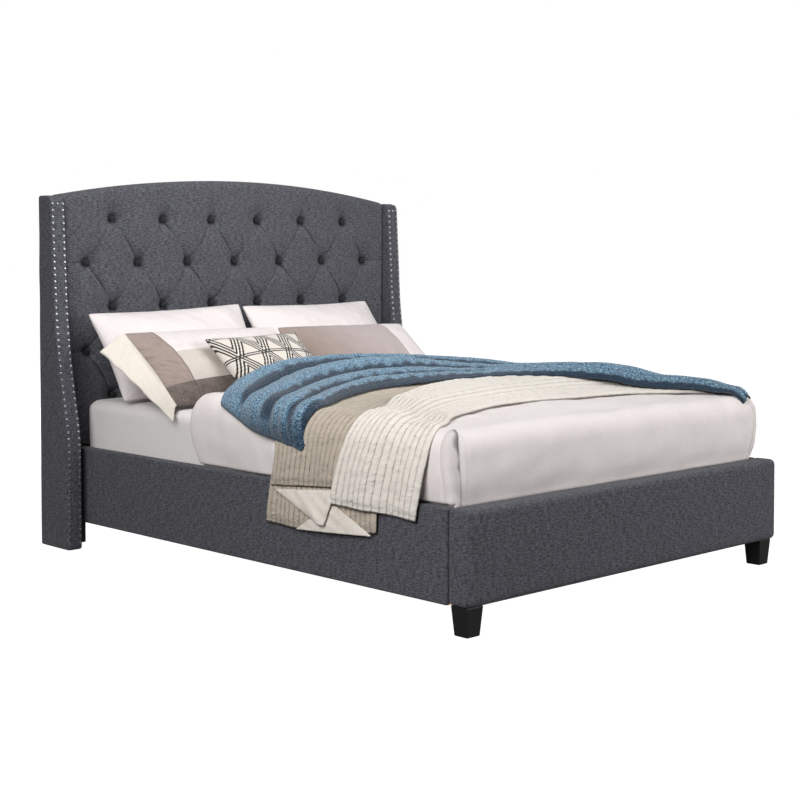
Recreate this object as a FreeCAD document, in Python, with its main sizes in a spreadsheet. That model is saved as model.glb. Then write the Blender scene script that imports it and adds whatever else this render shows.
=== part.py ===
"""Upholstered queen bed: tufted wing headboard, padded rails and footboard, slatted base, made-up bedding.

Frame: +Z up, +Y towards the headboard, X across the bed, origin on the floor under the middle of the whole bed.
Lengths are millimetres. "left" is the -X side.
"""
import FreeCAD, Part
import math
import os
import re

import Sketcher

SIZES = [
    ("mattress_width", 1524, "width of the mattress"),
    ("mattress_length", 2032, "length of the mattress"),
    ("mattress_height", 265, "height of the mattress"),
    ("mattress_room", 13, "gap between the mattress and each side rail"),
    ("head_room", 3, "gap between the mattress and the headboard's padding"),
    ("foot_room", 18, "gap between the mattress and the footboard"),
    ("rail_bottom", 93, "height of the rails' lower edge"),
    ("rail_top", 385, "height of the rails' upper edge"),
    ("rail_depth", 45, "thickness of an upholstered rail"),
    ("rail_board", 30, "thickness of the board inside a rail"),
    ("rail_round", 6, "edge rounding of the rail's padding"),
    ("rail_padding", 8, "padding over the rail board's upper edge"),
    ("cover_cloth", 2, "thickness of the upholstery cloth and its lining"),
    ("back_cloth", 1, "thickness of the dust cloth on the headboard's back"),
    ("headboard_peak", 1442, "top of the arch"),
    ("arch_rise", 76, "drop of the arch from its middle to its ends"),
    ("turned_edge", 26, "linen turned over onto the back, below the arch's ends"),
    ("batten_depth", 20, "thickness of the headboard frame's battens"),
    ("batten_width", 68, "width of the headboard frame's uprights"),
    ("top_batten_end", 80, "height of the arched top batten at its ends"),
    ("low_batten_height", 60, "height of the bottom batten"),
    ("mid_batten_offset", 185, "centre of each middle upright from the bed's middle"),
    ("mid_batten_width", 50, "width of a middle upright"),
    ("panel_thickness", 9, "plywood face of the headboard"),
    ("pad_bottom", 380, "lower edge of the headboard's padding"),
    ("foam_thickness", 28, "foam on the headboard's face"),
    ("button_pitch", 246.6, "distance between buttons in a row"),
    ("row_pitch", 175.5, "distance between rows of buttons"),
    ("top_row_drop", 166, "drop from the arch's peak to the top row of buttons"),
    ("button_radius", 11, "radius of a covered button"),
    ("button_dome", 6, "height of a covered button"),
    ("button_recess", 20, "depth of a tuft below the pad's face"),
    ("tuft_radius", 16, "radius of the pocket that a button sits in"),
    ("tie_radius", 1.5, "radius of a button's tie"),
    ("tie_clip_radius", 8, "radius of the clip behind the panel"),
    ("tie_clip_depth", 2, "thickness of the clip behind the panel"),
    ("leg_width", 85, "width of a headboard leg"),
    ("leg_depth", 60, "thickness of a headboard leg"),
    ("leg_drop", 5, "gap between a headboard leg and the padding above it"),
    ("brace_base", 225, "lower edge of the brace between the legs"),
    ("brace_height", 120, "height of the brace between the legs"),
    ("brace_depth", 30, "thickness of the brace between the legs"),
    ("wing_gap", 40, "gap between a rail's outer face and the wing"),
    ("wing_thickness", 64, "width of a wing's front face"),
    ("wing_height", 1362, "top of a wing"),
    ("wing_foot_depth", 198, "depth of a wing at the floor"),
    ("wing_mid_depth", 118, "depth of a wing above its flare"),
    ("wing_top_depth", 88, "depth of a wing at its top"),
    ("flare_low", 425, "height where the flare ends"),
    ("flare_high", 800, "height where the flare begins"),
    ("flare_low_radius", 900, "rounding at the flare's lower end"),
    ("flare_high_radius", 2500, "rounding at the flare's upper end"),
    ("wing_top_radius", 30, "rounding of the wing's top front corner"),
    ("wing_padding", 12, "padding and cloth over a wing's core"),
    ("nail_radius", 5.5, "radius of a nailhead"),
    ("nail_dome", 3, "height of a nailhead"),
    ("nail_shank", 12, "length of a nail's shank"),
    ("nail_shank_radius", 0.9, "radius of a nail's shank"),
    ("nail_pitch", 25, "distance between nailheads"),
    ("nail_edge", 9, "centre of a nailhead from the edge of the wing's face"),
    ("foot_depth", 87, "thickness of the footboard"),
    ("foot_bottom", 95, "height of the footboard's lower edge"),
    ("foot_top", 388, "height of the footboard's upper edge"),
    ("foot_padding", 13, "padding and cloth on the footboard's front, top and ends"),
    ("foot_round", 18, "rounding of the footboard's upper edges"),
    ("foot_board", 18, "thickness of each board in the footboard"),
    ("spacer_height", 38, "height of the battens between the footboard's boards"),
    ("block_top", 70, "width of a foot at its top"),
    ("block_bottom", 55, "width of a foot at the floor"),
    ("block_inset", 14, "distance of a foot from the footboard's faces"),
    ("glide_height", 3, "thickness of the floor glides"),
    ("glide_radius", 11, "radius of a floor glide"),
    ("ledger_size", 30, "height and width of the ledge that carries the slats"),
    ("slat_top", 300, "height of the slats' upper face"),
    ("slat_count", 12, "number of slats"),
    ("slat_width", 70, "width of a slat"),
    ("slat_thickness", 19, "thickness of a slat"),
    ("slat_gap", 2, "gap between a slat's end and the rail"),
    ("slat_margin", 55, "gap between the end slats and the headboard's brace or the footboard"),
    ("beam_width", 40, "width of the centre beam"),
    ("beam_height", 60, "height of the centre beam"),
    ("hanger_sheet", 3, "thickness of the steel hangers and brackets"),
    ("hanger_seat", 30, "length of the beam that rests in a hanger"),
    ("support_width", 45, "width of a centre support leg"),
    ("support_base", 22, "height of a support leg's lower end"),
    ("support_pitch", 640, "distance between the support legs"),
    ("leveller_pad", 20, "radius of a leveller's pad"),
    ("leveller_pad_height", 8, "thickness of a leveller's pad"),
    ("leveller_stem", 4, "radius of a leveller's stem"),
    ("leveller_reach", 40, "length of the stem inside the leg"),
    ("leveller_room", 18, "depth of the bore beyond the stem"),
    ("running_gap", 0.08, "radial clearance of a sliding stem"),
    ("bolt_radius", 4, "radius of the bolts"),
    ("bolt_head", 8, "radius of a bolt's head"),
    ("bolt_head_height", 6, "height of a bolt's head"),
    ("screw_radius", 2, "radius of the wood screws"),
    ("hole_gap", 0.1, "radial clearance of bolts and screws"),
    ("bracket_width", 60, "width of each arm of a corner bracket"),
    ("bracket_base", 110, "lower edge of a corner bracket"),
    ("bracket_room", 11, "gap between a corner bracket and the slats' ledge"),
    ("bolt_bite", 40, "length of a rail bolt inside the rail"),
    ("barrel_radius", 7, "radius of a barrel nut"),
    ("barrel_length", 24, "length of a barrel nut"),
    ("mattress_corner", 60, "rounding of the mattress's corners"),
    ("mattress_edge", 14, "rounding of the mattress's upper and lower edges"),
    ("mattress_lift", 1, "gap between the mattress and the slats"),
    ("layer_gap", 1.5, "gap between layers of bedding"),
    ("duvet_loft", 46, "thickness of the duvet on top of the mattress"),
    ("duvet_side", 34, "thickness of the duvet at the mattress's sides"),
    ("duvet_foot", 11, "thickness of the duvet tucked at the footboard"),
    ("duvet_head", 790, "distance of the duvet's head end from the headboard's padding"),
    ("pillow_zone", 800, "distance of the throw's head end from the headboard's padding"),
    ("duvet_hem", 5, "gap between the duvet's hem and the rail"),
    ("quilt_thickness", 9, "thickness of a quilt"),
    ("throw_thickness", 22, "thickness of the knitted throw's folds"),
]

doc = FreeCAD.newDocument("UpholsteredBed")
dims = doc.addObject("Spreadsheet::Sheet", "dims")
for row, (alias, number, meaning) in enumerate(SIZES, start=1):
    dims.set(f"A{row}", alias)
    dims.set(f"B{row}", str(number))
    dims.set(f"C{row}", meaning)
    dims.setAlias(f"B{row}", alias)
doc.recompute()
nodes = []


# ---- formulas and small builders -------------------------------------------------------------------------------

def qualified(formula):
    """The formula with every size's name pointing at the sheet."""
    return re.sub(r"\b[a-z]+(?:_[a-z]+)+\b", r"dims.\g<0>", str(formula))


def bind(item, prop, formula):
    item.setExpression(prop, qualified(formula))


def value(formula):
    """The present value of a formula, for choices that an expression can't make."""
    result = dims.evalExpression(qualified(formula))
    return float(getattr(result, "Value", result))


def place(item, corner):
    for axis, formula in zip("xyz", corner):
        bind(item, "Placement.Base." + axis, formula)


def box(label, corner, size):
    """A box from its low corner and its size, both as formulas."""
    item = doc.addObject("Part::Box", label)
    for prop, formula in zip(("Length", "Width", "Height"), size):
        bind(item, prop, formula)
    place(item, corner)
    return item


def rod(label, base, direction, radius, length):
    """A cylinder from the centre of its base along a direction."""
    item = doc.addObject("Part::Cylinder", label)
    turn = FreeCAD.Rotation(FreeCAD.Vector(0, 0, 1), FreeCAD.Vector(*direction))
    item.Placement = FreeCAD.Placement(FreeCAD.Vector(), turn)
    bind(item, "Radius", radius)
    bind(item, "Height", length)
    place(item, base)
    return item


def combine(kind, label, items):
    item = doc.addObject("Part::" + kind, label)
    item.Shapes = list(items)
    return item


def group(label, items):
    """Separate solids that share one node."""
    item = doc.addObject("Part::Compound", label)
    item.Links = list(items)
    return item


def cut(label, base, tool):
    item = doc.addObject("Part::Cut", label)
    item.Base = base
    item.Tool = tool
    return item


def rounded(label, base, radius, chosen):
    """Fillet the edges for which chosen(edge's centre, edge's direction) is true."""
    doc.recompute()
    picks = []
    for index, edge in enumerate(base.Shape.Edges, start=1):
        if len(edge.Vertexes) == 2:
            along = edge.Vertexes[1].Point - edge.Vertexes[0].Point
            if chosen(edge.CenterOfMass, along.normalize()):
                picks.append((index, radius, radius))
    item = doc.addObject("Part::Fillet", label)
    item.Base = base
    item.Edges = picks
    return item


def keep(label, item):
    """Make the item a sub-part of the bed, with its own name."""
    item.Label = label
    if item.Label != label:
        raise RuntimeError(f"the name {label} is taken")
    nodes.append(item)
    return item


def mirrored(side, near, width):
    """Low corner in X of a piece that starts a distance from the middle, on the left (-1) or right (1)."""
    return f"{near}" if side > 0 else f"-({near}) - ({width})"


def outline(body, name, plane, points):
    """A closed sketch of straight lines whose corners are bound to formulas."""
    sketch = body.newObject("Sketcher::SketchObject", name)
    origin_plane = [part for part in body.Origin.OriginFeatures if part.Role == plane][0]
    sketch.AttachmentSupport = (origin_plane, [""])
    sketch.MapMode = "FlatFace"
    corners = [FreeCAD.Vector(value(u), value(v), 0) for u, v in points]
    count = len(corners)
    for index in range(count):
        sketch.addGeometry(Part.LineSegment(corners[index], corners[(index + 1) % count]), False)
    for index in range(count):
        sketch.addConstraint(Sketcher.Constraint("Coincident", index, 2, (index + 1) % count, 1))
    for index, (u, v) in enumerate(points):
        for kind, formula, at in (("DistanceX", u, corners[index].x), ("DistanceY", v, corners[index].y)):
            number = sketch.addConstraint(Sketcher.Constraint(kind, -1, 1, index, 1, at))
            bind(sketch, f"Constraints[{number}]", formula)
    return sketch


def pad_body(label, plane, points, length):
    """A PartDesign body: an outline padded to a length."""
    body = doc.addObject("PartDesign::Body", label)
    sketch = outline(body, label + "_outline", plane, points)
    pad = body.newObject("PartDesign::Pad", label + "_pad")
    pad.Profile = sketch
    bind(pad, "Length", length)
    doc.recompute()
    return body, pad


def fillet_at(body, label, feature, radius, corner):
    """Round the body's edge that passes through a corner (y, z) and runs along X."""
    picks = []
    for index, edge in enumerate(feature.Shape.Edges, start=1):
        middle = edge.CenterOfMass
        box_of_edge = edge.BoundBox
        if box_of_edge.YLength < 0.01 and box_of_edge.ZLength < 0.01:
            if abs(middle.y - corner[0]) < 0.1 and abs(middle.z - corner[1]) < 0.1:
                picks.append(f"Edge{index}")
    fillet = body.newObject("PartDesign::Fillet", label)
    fillet.Base = (feature, picks)
    bind(fillet, "Radius", radius)
    doc.recompute()
    return fillet


def spin_body(label, points):
    """A PartDesign body: an outline in the XZ plane turned once about Z."""
    body = doc.addObject("PartDesign::Body", label)
    sketch = outline(body, label + "_outline", "XZ_Plane", points)
    turn = body.newObject("PartDesign::Revolution", label + "_turn")
    turn.Profile = sketch
    turn.ReferenceAxis = (sketch, ["V_Axis"])
    turn.Angle = 360
    doc.recompute()
    return body


def copies(label, source, placements):
    """One node of separate solids: the source's solid at each placement."""
    item = doc.addObject("Part::Feature", label)
    item.Shape = Part.makeCompound([source.Shape.Solids[0].transformed(spot.Matrix) for spot in placements])
    return item


# ---- planes that several pieces share --------------------------------------------------------------------------

HEAD_STACK = "(cover_cloth + foam_thickness + panel_thickness + batten_depth + back_cloth)"
REAR = f"((foot_depth + foot_room + mattress_length + head_room + {HEAD_STACK}) / 2)"
BATTEN_REAR = f"({REAR} - back_cloth)"
BATTEN_FRONT = f"({BATTEN_REAR} - batten_depth)"
PANEL_FRONT = f"({BATTEN_FRONT} - panel_thickness)"
FOAM_FRONT = f"({PANEL_FRONT} - foam_thickness)"
PAD_FRONT = f"({FOAM_FRONT} - cover_cloth)"
LEG_FRONT = f"({BATTEN_FRONT} - leg_depth)"
LEG_FACE = f"({LEG_FRONT} - cover_cloth)"
BRACE_FRONT = f"({BATTEN_FRONT} - brace_depth)"
FOOT_FRONT = f"(-{REAR})"
FOOT_INNER = f"({FOOT_FRONT} + foot_depth)"
HALF_BED = "(mattress_width / 2 + mattress_room + rail_depth)"
RAIL_INNER = f"({HALF_BED} - rail_depth)"
BOARD_INNER = f"({RAIL_INNER} + cover_cloth)"
WING_INNER = f"({HALF_BED} + wing_gap)"
CORE_HALF = f"({WING_INNER} - cover_cloth)"
LEG_INNER = f"({CORE_HALF} - leg_width)"
SLAT_BASE = "(slat_top - slat_thickness)"
BEAM_BASE = f"({SLAT_BASE} - beam_height)"
LEDGER_BASE = f"({SLAT_BASE} - ledger_size)"
BRACKET_HEIGHT = f"({LEDGER_BASE} - bracket_room - bracket_base)"
LOW_BATTEN_BASE = "(pad_bottom - low_batten_height)"
TOP_BATTEN_BASE = "(headboard_peak - arch_rise - top_batten_end)"
TOP_ROW = "(headboard_peak - top_row_drop)"
LEG_TOP = "(pad_bottom - leg_drop)"
RAIL_LENGTH = f"({LEG_FACE} - {FOOT_INNER})"
ARCH_RADIUS = f"(({WING_INNER} * {WING_INNER} + arch_rise * arch_rise) / (2 * arch_rise))"
SIDES = ((-1, "left"), (1, "right"))


def arched(label, half, front, rear, base, inset):
    """A slab as wide as twice half, from front to rear and up from base, under the arch lowered by inset."""
    depth = f"{rear} - {front}"
    blank = box(label + "_blank", (f"-{half}", front, base), (f"2 * {half}", depth, f"headboard_peak - {base}"))
    radius = f"{ARCH_RADIUS} - {inset}"
    disc = rod(label + "_arch", ("0", front, f"headboard_peak - {ARCH_RADIUS}"), (0, 1, 0), radius, depth)
    return combine("MultiCommon", label + "_slab", (blank, disc))


# ---- headboard -------------------------------------------------------------------------------------------------

def tuft_places():
    """Where each button's centre lies on the headboard: rows of six and seven in turn."""
    rows = int(value(f"{TOP_ROW} - mattress_height - slat_top") // value("row_pitch")) + 1
    for row in range(rows):
        count = 6 + row % 2
        for column in range(count):
            across = (column - (count - 1) / 2) * value("button_pitch")
            yield across, value(TOP_ROW) - row * value("row_pitch")


def wing_bolt_holes(side, name):
    """Cutters along X for the bolts that hold a wing to its upright."""
    middle = f"{BATTEN_REAR} - batten_depth / 2"
    start = mirrored(side, f"{CORE_HALF} - batten_width", "0")
    radius = "bolt_radius + hole_gap"
    length = "batten_width + cover_cloth + wing_padding + bolt_bite - 10"
    return [rod(f"wing_hole_{name}_{index}", (start, middle, height), (side, 0, 0), radius, length)
            for index, height in enumerate(WING_BOLT_HEIGHTS)]


def rail_bolt_line(side):
    """X of the line that a rail's bolts and its board share."""
    middle = f"({BOARD_INNER} + rail_board / 2)"
    return middle if side > 0 else f"(-{middle})"


WING_BOLT_HEIGHTS = (f"{LOW_BATTEN_BASE} + 120", f"({LOW_BATTEN_BASE} + {TOP_BATTEN_BASE}) / 2", f"{TOP_BATTEN_BASE} - 130")
RAIL_BOLT_HEIGHTS = ("rail_bottom + 70", "rail_top - 80")


def rail_bolt_holes(side, name):
    """Cutters along Y for the bolts that run through an upright and its leg into the rail."""
    start = f"{LEG_FACE} - bolt_bite"
    length = f"{BATTEN_REAR} - ({start})"
    holes = []
    for index, height in enumerate(RAIL_BOLT_HEIGHTS):
        at = rail_bolt_line(side)
        holes.append(rod(f"rail_hole_{name}_{index}", (at, start, height), (0, 1, 0), "bolt_radius + hole_gap", length))
        recess = f"{BATTEN_REAR} - bolt_head_height"
        holes.append(rod(f"rail_recess_{name}_{index}", (at, recess, height), (0, 1, 0), "bolt_head + 1", "bolt_head_height"))
    return holes


def dust_cloth(label):
    """The flat cloth over the headboard's back: it ends under the edge that the linen is turned over."""
    height = "headboard_peak - arch_rise - turned_edge - pad_bottom"
    return box(label, (f"-{WING_INNER}", BATTEN_REAR, "pad_bottom"), (f"2 * {WING_INNER}", "back_cloth", height))


def headboard():
    doc.recompute()
    tufts = list(tuft_places())
    panel_depth = "panel_thickness + foam_thickness + cover_cloth + tie_clip_depth"
    ties = copies("tie_holes", spin_body("tie_hole", (
        ("0", "0"), ("tie_radius + hole_gap", "0"), ("tie_radius + hole_gap", panel_depth), ("0", panel_depth))),
        [button_spot(across, up, PAD_FRONT) for across, up in tufts])
    pockets = copies("tuft_pockets", spin_body("tuft_pocket", (
        ("0", "0"), ("tuft_radius", "0"), ("tuft_radius", "button_recess"), ("0", "button_recess"))),
        [button_spot(across, up, PAD_FRONT) for across, up in tufts])

    panel = arched("panel", CORE_HALF, PANEL_FRONT, BATTEN_FRONT, "pad_bottom", "cover_cloth")
    keep("headboard_panel", cut("headboard_panel", panel, ties))
    foam = arched("foam", CORE_HALF, FOAM_FRONT, PANEL_FRONT, "pad_bottom", "cover_cloth")
    foam = cut("foam_tufted", foam, pockets)
    keep("headboard_foam", cut("headboard_foam", foam, ties))
    outer = arched("cover_outer", WING_INNER, PAD_FRONT, REAR, "pad_bottom", "0")
    inner = arched("cover_inner", CORE_HALF, FOAM_FRONT, BATTEN_REAR, "pad_bottom", "cover_cloth")
    cover = cut("cover_shell", outer, inner)
    cover = cut("cover_turned_over", cover, dust_cloth("cover_window"))
    cover = cut("cover_drilled", cover, group("cover_holes", wing_bolt_holes(-1, "left_cover") +
                                              wing_bolt_holes(1, "right_cover")))
    keep("headboard_cover", cut("headboard_cover", cover, pockets))

    keep("headboard_top_batten", arched("headboard_top_batten", CORE_HALF, BATTEN_FRONT, BATTEN_REAR,
                                        TOP_BATTEN_BASE, "cover_cloth"))
    inner_half = f"({CORE_HALF} - batten_width)"
    keep("headboard_bottom_batten", box("headboard_bottom_batten", (f"-{inner_half}", BATTEN_FRONT, LOW_BATTEN_BASE),
                                        (f"2 * {inner_half}", "batten_depth", "low_batten_height")))
    mids = [box("mid_upright_" + name, (f"{side} * mid_batten_offset - mid_batten_width / 2", BATTEN_FRONT, "pad_bottom"),
                ("mid_batten_width", "batten_depth", f"{TOP_BATTEN_BASE} - pad_bottom")) for side, name in SIDES]
    keep("headboard_mid_uprights", group("headboard_mid_uprights", mids))
    for side, name in SIDES:
        upright = box("upright_blank_" + name, (mirrored(side, inner_half, "batten_width"), BATTEN_FRONT, "glide_height"),
                      ("batten_width", "batten_depth", f"{TOP_BATTEN_BASE} - glide_height"))
        holes = group("upright_holes_" + name, wing_bolt_holes(side, name) + rail_bolt_holes(side, name))
        keep("headboard_upright_" + name, cut("headboard_upright_" + name, upright, holes))
        headboard_leg(side, name)
    brace_half = f"({LEG_INNER} - cover_cloth)"
    keep("headboard_brace", box("headboard_brace", (f"-{brace_half}", BRACE_FRONT, "brace_base"),
                                (f"2 * {brace_half}", "brace_depth", "brace_height")))
    keep("headboard_back_cloth", dust_cloth("headboard_back_cloth"))
    tufting_buttons(tufts)


def headboard_leg(side, name):
    """The solid block under the padding that the rail bolts to, and its cloth sleeve."""
    block = box("leg_block_" + name, (mirrored(side, LEG_INNER, "leg_width"), LEG_FRONT, "glide_height"),
                ("leg_width", "leg_depth", f"{LEG_TOP} - glide_height"))
    holes = group("leg_holes_" + name, rail_bolt_holes(side, name + "_leg"))
    keep("headboard_leg_" + name, cut("headboard_leg_" + name, block, holes))
    width = "leg_width + 2 * cover_cloth"
    sleeve = box("leg_sleeve_blank_" + name, (mirrored(side, f"{LEG_INNER} - cover_cloth", width), LEG_FACE, "glide_height"),
                 (width, "leg_depth + cover_cloth", f"{LEG_TOP} - glide_height"))
    sleeve = cut("leg_sleeve_open_" + name, sleeve, block)
    keep("leg_sleeve_" + name, cut("leg_sleeve_cut_" + name, sleeve, holes))


def button_spot(across, up, plane):
    """Placement that turns a piece made up the Z axis to stand on a plane and point to the bed's back."""
    turn = FreeCAD.Rotation(FreeCAD.Vector(0, 0, 1), FreeCAD.Vector(0, 1, 0))
    return FreeCAD.Placement(FreeCAD.Vector(across, value(plane), up), turn)


def tufting_buttons(tufts):
    """Domed buttons at the bottom of the tufts, each with its tie and the clip behind the panel."""
    clip = "(cover_cloth + foam_thickness + panel_thickness)"
    face = "(button_recess - button_dome)"
    profile = (
        ("0", face), ("button_radius * 0.45", f"{face} + button_dome * 0.12"),
        ("button_radius * 0.8", f"{face} + button_dome * 0.42"), ("button_radius", f"{face} + button_dome * 0.8"),
        ("button_radius", "button_recess"), ("tie_radius", "button_recess"), ("tie_radius", clip),
        ("tie_clip_radius", clip), ("tie_clip_radius", f"{clip} + tie_clip_depth"), ("0", f"{clip} + tie_clip_depth"))
    button = spin_body("button", profile)
    keep("tufting_buttons", copies("tufting_buttons", button, [button_spot(across, up, PAD_FRONT) for across, up in tufts]))


# ---- wings -----------------------------------------------------------------------------------------------------

def wing_outline(inset, rear, base):
    """Corners (y, z) of a wing's side, drawn in by an inset at its front and top."""
    def front(depth):
        return f"{REAR} - {depth} + {inset}"
    return ((rear, base), (front("wing_foot_depth"), base), (front("wing_foot_depth"), "flare_low"),
            (front("wing_mid_depth"), "flare_high"), (front("wing_top_depth"), f"wing_height - {inset}"),
            (rear, f"wing_height - {inset}"))


def wing_slab(label, near, thickness, inset, rear, base, side):
    """A wing's side outline with its curved flare, as thick as asked."""
    points = wing_outline(inset, rear, base)
    body, feature = pad_body(label, "YZ_Plane", points, thickness)
    radii = {2: "flare_low_radius", 3: "flare_high_radius", 4: f"wing_top_radius - {inset}"}
    for index, radius in radii.items():
        corner = (value(points[index][0]), value(points[index][1]))
        feature = fillet_at(body, f"{label}_round_{index}", feature, radius, corner)
    place(body, (mirrored(side, near, thickness), "0", "0"))
    doc.recompute()
    return body


def wings():
    core_near = f"({WING_INNER} + wing_padding)"
    core_width = "(wing_thickness - 2 * wing_padding)"
    for side, name in SIDES:
        holes = group("wing_holes_" + name, wing_bolt_holes(side, name + "_wing"))
        outer = wing_slab("wing_outer_" + name, WING_INNER, "wing_thickness", "0", REAR, "glide_height", side)
        core = wing_slab("wing_inner_" + name, core_near, core_width, "wing_padding", f"{REAR} - cover_cloth",
                         "glide_height", side)
        keep("wing_core_" + name, cut("wing_core_drilled_" + name, core, holes))
        shell = cut("wing_shell_" + name, outer, core)
        keep("wing_cover_" + name, cut("wing_cover_" + name, shell, holes))
        nailheads(side, name, outer)


def front_line(outer):
    """Points (y, z) down the middle of a wing's front face, from the top rounding to the floor."""
    middle = outer.Shape.BoundBox.Center.x
    step = value("nail_pitch") / 10
    top = value("wing_height - wing_top_radius")
    reach = value("wing_foot_depth") + 50
    rear = value(REAR)
    line = []
    height = top
    while height > value("glide_height") + value("nail_radius") + 2:
        probe = Part.makeLine(FreeCAD.Vector(middle, rear - reach, height), FreeCAD.Vector(middle, rear - 5, height))
        line.append((outer.Shape.common(probe).BoundBox.YMin, height))
        height -= step
    return line


def nailheads(side, name, outer):
    """Domed nails in two rows down a wing's front face, joined by a nail across the top."""
    line = front_line(outer)
    width = value("wing_thickness")
    near = value(WING_INNER)
    offsets = (value("nail_edge"), width - value("nail_edge"))
    spots = []
    travelled = value("nail_pitch")
    for index in range(1, len(line)):
        y, z = line[index]
        above = line[index - 1]
        travelled += math.hypot(y - above[0], z - above[1])
        if travelled >= value("nail_pitch"):
            inward = FreeCAD.Vector(0, above[1] - z, y - above[0])
            turn = FreeCAD.Rotation(FreeCAD.Vector(0, 0, 1), inward)
            row = offsets if spots else offsets + (width / 2,)
            for offset in row:
                spots.append(FreeCAD.Placement(FreeCAD.Vector(side * (near + offset), y, z), turn))
            travelled = 0.0
    nail = spin_body("nail_" + name, (
        ("0", "-nail_dome"), ("nail_radius * 0.5", "-nail_dome * 0.84"), ("nail_radius * 0.85", "-nail_dome * 0.45"),
        ("nail_radius", "0"), ("nail_shank_radius", "0"), ("nail_shank_radius", "nail_shank"), ("0", "nail_shank + 2")))
    keep("nailheads_" + name, copies("nailheads_" + name, nail, spots))


# ---- side rails ------------------------------------------------------------------------------------------------

def side_rails():
    for side, name in SIDES:
        base = "rail_bottom + cover_cloth"
        height = "rail_top - rail_padding - rail_bottom - cover_cloth"
        board = box("rail_blank_" + name, (mirrored(side, BOARD_INNER, "rail_board"), FOOT_INNER, base),
                    ("rail_board", RAIL_LENGTH, height))
        holes = rail_bolt_holes(side, name + "_rail")
        barrels = barrel_nut_rods(side, name + "_pocket", "hole_gap")
        screws = bracket_fasteners(side, name + "_rail_pilot", "hole_gap")
        tools = group("rail_tools_" + name, holes + barrels + screws)
        keep("rail_board_" + name, cut("rail_board_" + name, board, tools))
        skin = box("rail_skin_" + name, (mirrored(side, RAIL_INNER, "rail_depth"), FOOT_INNER, "rail_bottom"),
                   ("rail_depth", RAIL_LENGTH, "rail_top - rail_bottom"))
        skin = rounded("rail_soft_" + name, skin, value("rail_round"),
                       lambda middle, along: abs(along.y) > 0.9 and middle.z > value("rail_bottom + 5"))
        skin = cut("rail_shell_" + name, skin, board)
        keep("rail_cover_" + name, cut("rail_cover_" + name, skin, tools))
        ledger_near = f"({RAIL_INNER} - ledger_size)"
        ledger = box("ledger_blank_" + name, (mirrored(side, ledger_near, "ledger_size"), f"{FOOT_INNER} + 5",
                                              LEDGER_BASE),
                     ("ledger_size", f"{RAIL_LENGTH} - 10", "ledger_size"))
        pilots = group("ledger_pilots_" + name, slat_screw_rods(side, name + "_ledger", "hole_gap"))
        keep("slat_ledger_" + name, cut("slat_ledger_" + name, ledger, pilots))


def barrel_nut_rods(side, name, gap):
    """Rods across the rail board, one at the end of each rail bolt."""
    near = f"({BOARD_INNER} + rail_board / 2 - barrel_length / 2)"
    start = mirrored(side, near, "0")
    along = f"{LEG_FACE} - bolt_bite + barrel_radius"
    return [rod(f"barrel_{name}_{index}", (start, along, height), (side, 0, 0), f"barrel_radius + {gap}", "barrel_length")
            for index, height in enumerate(RAIL_BOLT_HEIGHTS)]


def headboard_bolts():
    """Bolts from the headboard's back into the rails, their barrel nuts, and the bolts that hold the wings."""
    bolts = []
    nuts = []
    wing_bolts = []
    for side, name in SIDES:
        for index, height in enumerate(RAIL_BOLT_HEIGHTS):
            at = rail_bolt_line(side)
            start = f"{LEG_FACE} - bolt_bite"
            shank = rod(f"bolt_shank_{name}_{index}", (at, start, height), (0, 1, 0), "bolt_radius",
                        f"{BATTEN_REAR} - bolt_head_height - ({start})")
            head = rod(f"bolt_head_{name}_{index}", (at, f"{BATTEN_REAR} - bolt_head_height", height), (0, 1, 0),
                       "bolt_head", "bolt_head_height")
            bolts.append(combine("MultiFuse", f"rail_bolt_{name}_{index}", (shank, head)))
        cutters = group("barrel_cutters_" + name, rail_bolt_holes(side, name + "_nut"))
        for index, nut in enumerate(barrel_nut_rods(side, name + "_nut", "0")):
            nuts.append(cut(f"barrel_nut_{name}_{index}", nut, cutters))
        middle = f"{BATTEN_REAR} - batten_depth / 2"
        near = f"({CORE_HALF} - batten_width)"
        length = "batten_width + cover_cloth + wing_padding + bolt_bite - 10"
        for index, height in enumerate(WING_BOLT_HEIGHTS):
            shank = rod(f"wing_shank_{name}_{index}", (mirrored(side, near, "0"), middle, height), (side, 0, 0),
                        "bolt_radius", length)
            head = rod(f"wing_head_{name}_{index}", (mirrored(side, near, "0"), middle, height), (-side, 0, 0),
                       "bolt_head", "bolt_head_height")
            wing_bolts.append(combine("MultiFuse", f"wing_bolt_{name}_{index}", (shank, head)))
    keep("rail_bolts", group("rail_bolts", bolts))
    keep("barrel_nuts", group("barrel_nuts", nuts))
    keep("wing_bolts", group("wing_bolts", wing_bolts))


# ---- footboard -------------------------------------------------------------------------------------------------

FOOT_CORE_HALF = f"({HALF_BED} - foot_padding)"
FOOT_CORE_FRONT = f"({FOOT_FRONT} + foot_padding)"
FOOT_CORE_BASE = "(foot_bottom + cover_cloth)"
FOOT_CORE_TOP = "(foot_top - foot_padding)"
FOOT_CORE_REAR = f"({FOOT_INNER} - cover_cloth)"
SPACER_DEPTH = f"({FOOT_CORE_REAR} - {FOOT_CORE_FRONT} - 2 * foot_board)"
BLOCK_CENTRE_Y = f"({FOOT_FRONT} + block_inset + block_top / 2)"
BLOCK_CENTRE_X = f"({HALF_BED} - block_inset - block_top / 2)"


def foot_bolt_rods(name, gap):
    """Upright rods through each foot's top into the footboard's lower batten."""
    rods = []
    for side, side_name in SIDES:
        rods.append(rod(f"foot_bolt_{name}_{side_name}", (f"{side} * {BLOCK_CENTRE_X}", BLOCK_CENTRE_Y, "foot_bottom - 45"),
                        (0, 0, 1), f"bolt_radius + {gap}", "45 + cover_cloth + spacer_height - 8"))
    return rods


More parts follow.
